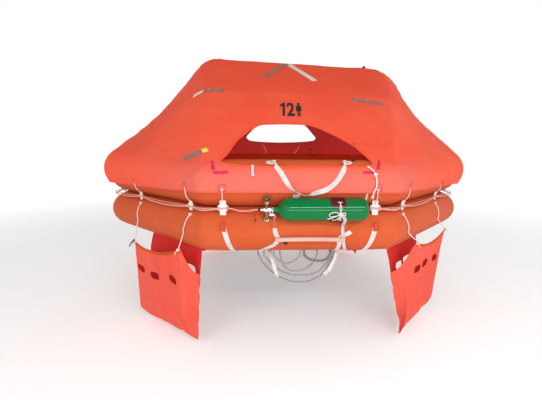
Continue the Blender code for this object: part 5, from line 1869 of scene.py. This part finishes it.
def makeTowPatch():
    # a round-cornered patch on the tube's left end, with a ring of webbing sewn on
    wide, tall = fittings["tow"]
    reach = tubeRadius + 0.0035

    def place(u, w):
        a = (w - 0.5) * tall / reach
        return Vector((-apothem - reach * math.cos(a), (u - 0.5) * wide, lowerZ + reach * math.sin(a)))

    bm = gridSheet(24, 20, place)
    bmesh.ops.recalc_face_normals(bm, faces=bm.faces)
    if sum(face.normal.x for face in bm.faces) > 0:
        bmesh.ops.reverse_faces(bm, faces=bm.faces)
    bmesh.ops.solidify(bm, geom=bm.faces[:], thickness=0.003)
    finishPiece("towPatch", bm, "binding", ("tow_patch",), 50)
    run = []
    for k in range(13):
        a = math.pi * k / 12
        run.append(Vector((-apothem - reach - 0.0015 - 0.006 * math.sin(a), 0.030 * math.cos(a), lowerZ)))
    bandPiece("towLoop", run, [Vector((-1, 0, 0))] * len(run), 0.026)
    threads = bmesh.new()
    for inset in (0.006, 0.014):
        points = []
        outline = ((inset, inset), (wide - inset, inset), (wide - inset, tall - inset), (inset, tall - inset))
        for (a, b), (c, d) in zip(outline, outline[1:] + outline[:1]):
            for k in range(8):
                spot = place((a + (c - a) * k / 8) / wide, (b + (d - b) * k / 8) / tall)
                points.append(spot + Vector((-0.0012, 0, 0)))
        addInto(threads, sweep(circle(0.0009, 6), framesAlong(points + points[:1])))
    finishPiece("towStitching", threads, "stitch")


makeFittings()
makeTowPatch()


def onRearLining(px, py):
    # the inside of the canopy's rear half, behind a point of the photograph
    way = sightLine(px, py)
    start = Vector(lens["place"]) + way * 3.2
    spot = openCanopy.ray_cast(start, way)[0]
    return spot - way * 0.012 if spot else None


def makeInside():
    # ribbons for the rear flap, and small dark fastenings, on the lining below the rear opening
    bm = bmesh.new()
    for first, last in (((263, 145), (268.5, 159)), ((299, 146), (290.5, 159))):
        spots = []
        for k in range(12):
            share = k / 11
            spot = onRearLining(
                first[0] + (last[0] - first[0]) * share + 0.8 * math.sin(share * 6), first[1] + (last[1] - first[1]) * share
            )
            if spot:
                spots.append(spot)
        if len(spots) > 3:
            run = spread(spots, 0.012)
            addInto(bm, sweep(bandSection(0.014, 0.0018), framesAlong(run, [-sightLine(*first)] * len(run))))
    finishPiece("insideRibbons", bm, "litWebbing")
    bm = bmesh.new()
    for px, py, tall in ((310.5, 149.5, 0.020), (310.2, 153.6, 0.014), (309.8, 157.2, 0.016)):
        spot = onRearLining(px, py)
        if spot:
            addPad(bm, axesAt(spot, Vector((1, 0, 0.1)), Vector((0, -1, 0.3))), (0.018, tall, 0.006))
    finishPiece("insideFastenings", bm, "black")


makeInside()
print("fittings made")

# Studio: pale floor, white surroundings that dim overhead, soft light from the front
studio = {
    "floorZ": -0.785,
    "reach": 40.0,
    "horizon": 1.0,
    "zenith": 0.39,
    "lights": (  # name, place, watts, width and height; the strips draw the thin lines of light on the cylinder
        ("keyLight", (-2.6, -4.3, 2.2), 44.0, (2.6, 2.6)),
        ("fillLight", (4.5, 3.0, 3.5), 20.0, (4.0, 4.0)),
        ("sideLight", (4.2, -2.6, 2.0), 19.0, (2.4, 2.4)),
        ("highStrip", (0.82, -4.05, 1.84), 36.0, (2.1, 0.16)),
        ("levelStrip", (0.78, -4.50, 0.44), 24.0, (2.1, 0.13)),
    ),
    "inside": ((0.05, 0.15, 1.04), (0.05, 1.25, 0.42), 3.0, (1.2, 0.2), (1.0, 0.40, 0.34)),  # daylight through the cloth
}


def makeStudio():
    scene = bpy.context.scene
    scene.view_settings.view_transform = "Standard"
    world = bpy.data.worlds.new("studio")
    scene.world = world
    world.use_nodes = True
    tree = world.node_tree
    sky = tree.nodes["Background"]
    coordinates = tree.nodes.new("ShaderNodeTexCoord")
    split = tree.nodes.new("ShaderNodeSeparateXYZ")
    ramp = tree.nodes.new("ShaderNodeMapRange")
    tree.links.new(coordinates.outputs["Generated"], split.inputs["Vector"])
    tree.links.new(split.outputs["Z"], ramp.inputs["Value"])
    for key, value in (("From Min", 0.40), ("From Max", 0.55), ("To Min", studio["horizon"]), ("To Max", studio["zenith"])):
        ramp.inputs[key].default_value = value
    tree.links.new(ramp.outputs["Result"], sky.inputs["Strength"])
    sky.inputs["Color"].default_value = (1, 1, 1, 1)

    bm = bmesh.new()
    bmesh.ops.create_grid(bm, x_segments=1, y_segments=1, size=studio["reach"])
    bmesh.ops.translate(bm, vec=(0, 0, studio["floorZ"]), verts=bm.verts)
    mesh = bpy.data.meshes.new("studioFloor")
    bm.to_mesh(mesh)
    bm.free()
    finish = Finish("paleFloor", (0.9, 0.9, 0.9), 0.9)
    grain = finish.noise(finish.where(), 6, 3)
    finish.put("Base Color", finish.mix(grain, (0.88, 0.88, 0.88), (0.92, 0.92, 0.92)))
    x, y = finish.axis(finish.where(), "X"), finish.axis(finish.where(), "Y")
    away = finish.steps((x * x + y * y) ** 0.5, 3.0, 10.0)  # whiter far off, so that it runs into the background
    finish.put("Emission Color", finish.mix(away, (0.46, 0.46, 0.46), (1, 1, 1)))
    finish.put("Emission Strength", 0.62)
    mesh.materials.append(finish.made)
    floor = bpy.data.objects.new("studioFloor", mesh)
    scene.collection.objects.link(floor)

    for name, place, energy, (wide, tall) in studio["lights"]:
        data = bpy.data.lights.new(name, "AREA")
        data.energy = energy
        data.shape = "RECTANGLE"
        data.size = wide
        data.size_y = tall
        light = bpy.data.objects.new(name, data)
        aim = (Vector((0, 0, 0.3)) - Vector(place)).to_track_quat("-Z", "Y")
        light.matrix_world = Matrix.Translation(place) @ aim.to_matrix().to_4x4()
        scene.collection.objects.link(light)

    place, target, energy, (wide, tall), colour = studio["inside"]
    data = bpy.data.lights.new("insideLight", "AREA")
    data.energy = energy
    data.color = colour
    data.shape = "RECTANGLE"
    data.size = wide
    data.size_y = tall
    light = bpy.data.objects.new("insideLight", data)
    aim = (Vector(target) - Vector(place)).to_track_quat("-Z", "Y")
    light.matrix_world = Matrix.Translation(place) @ aim.to_matrix().to_4x4()
    light.visible_camera = False
    scene.collection.objects.link(light)


makeStudio()
print("studio set up")
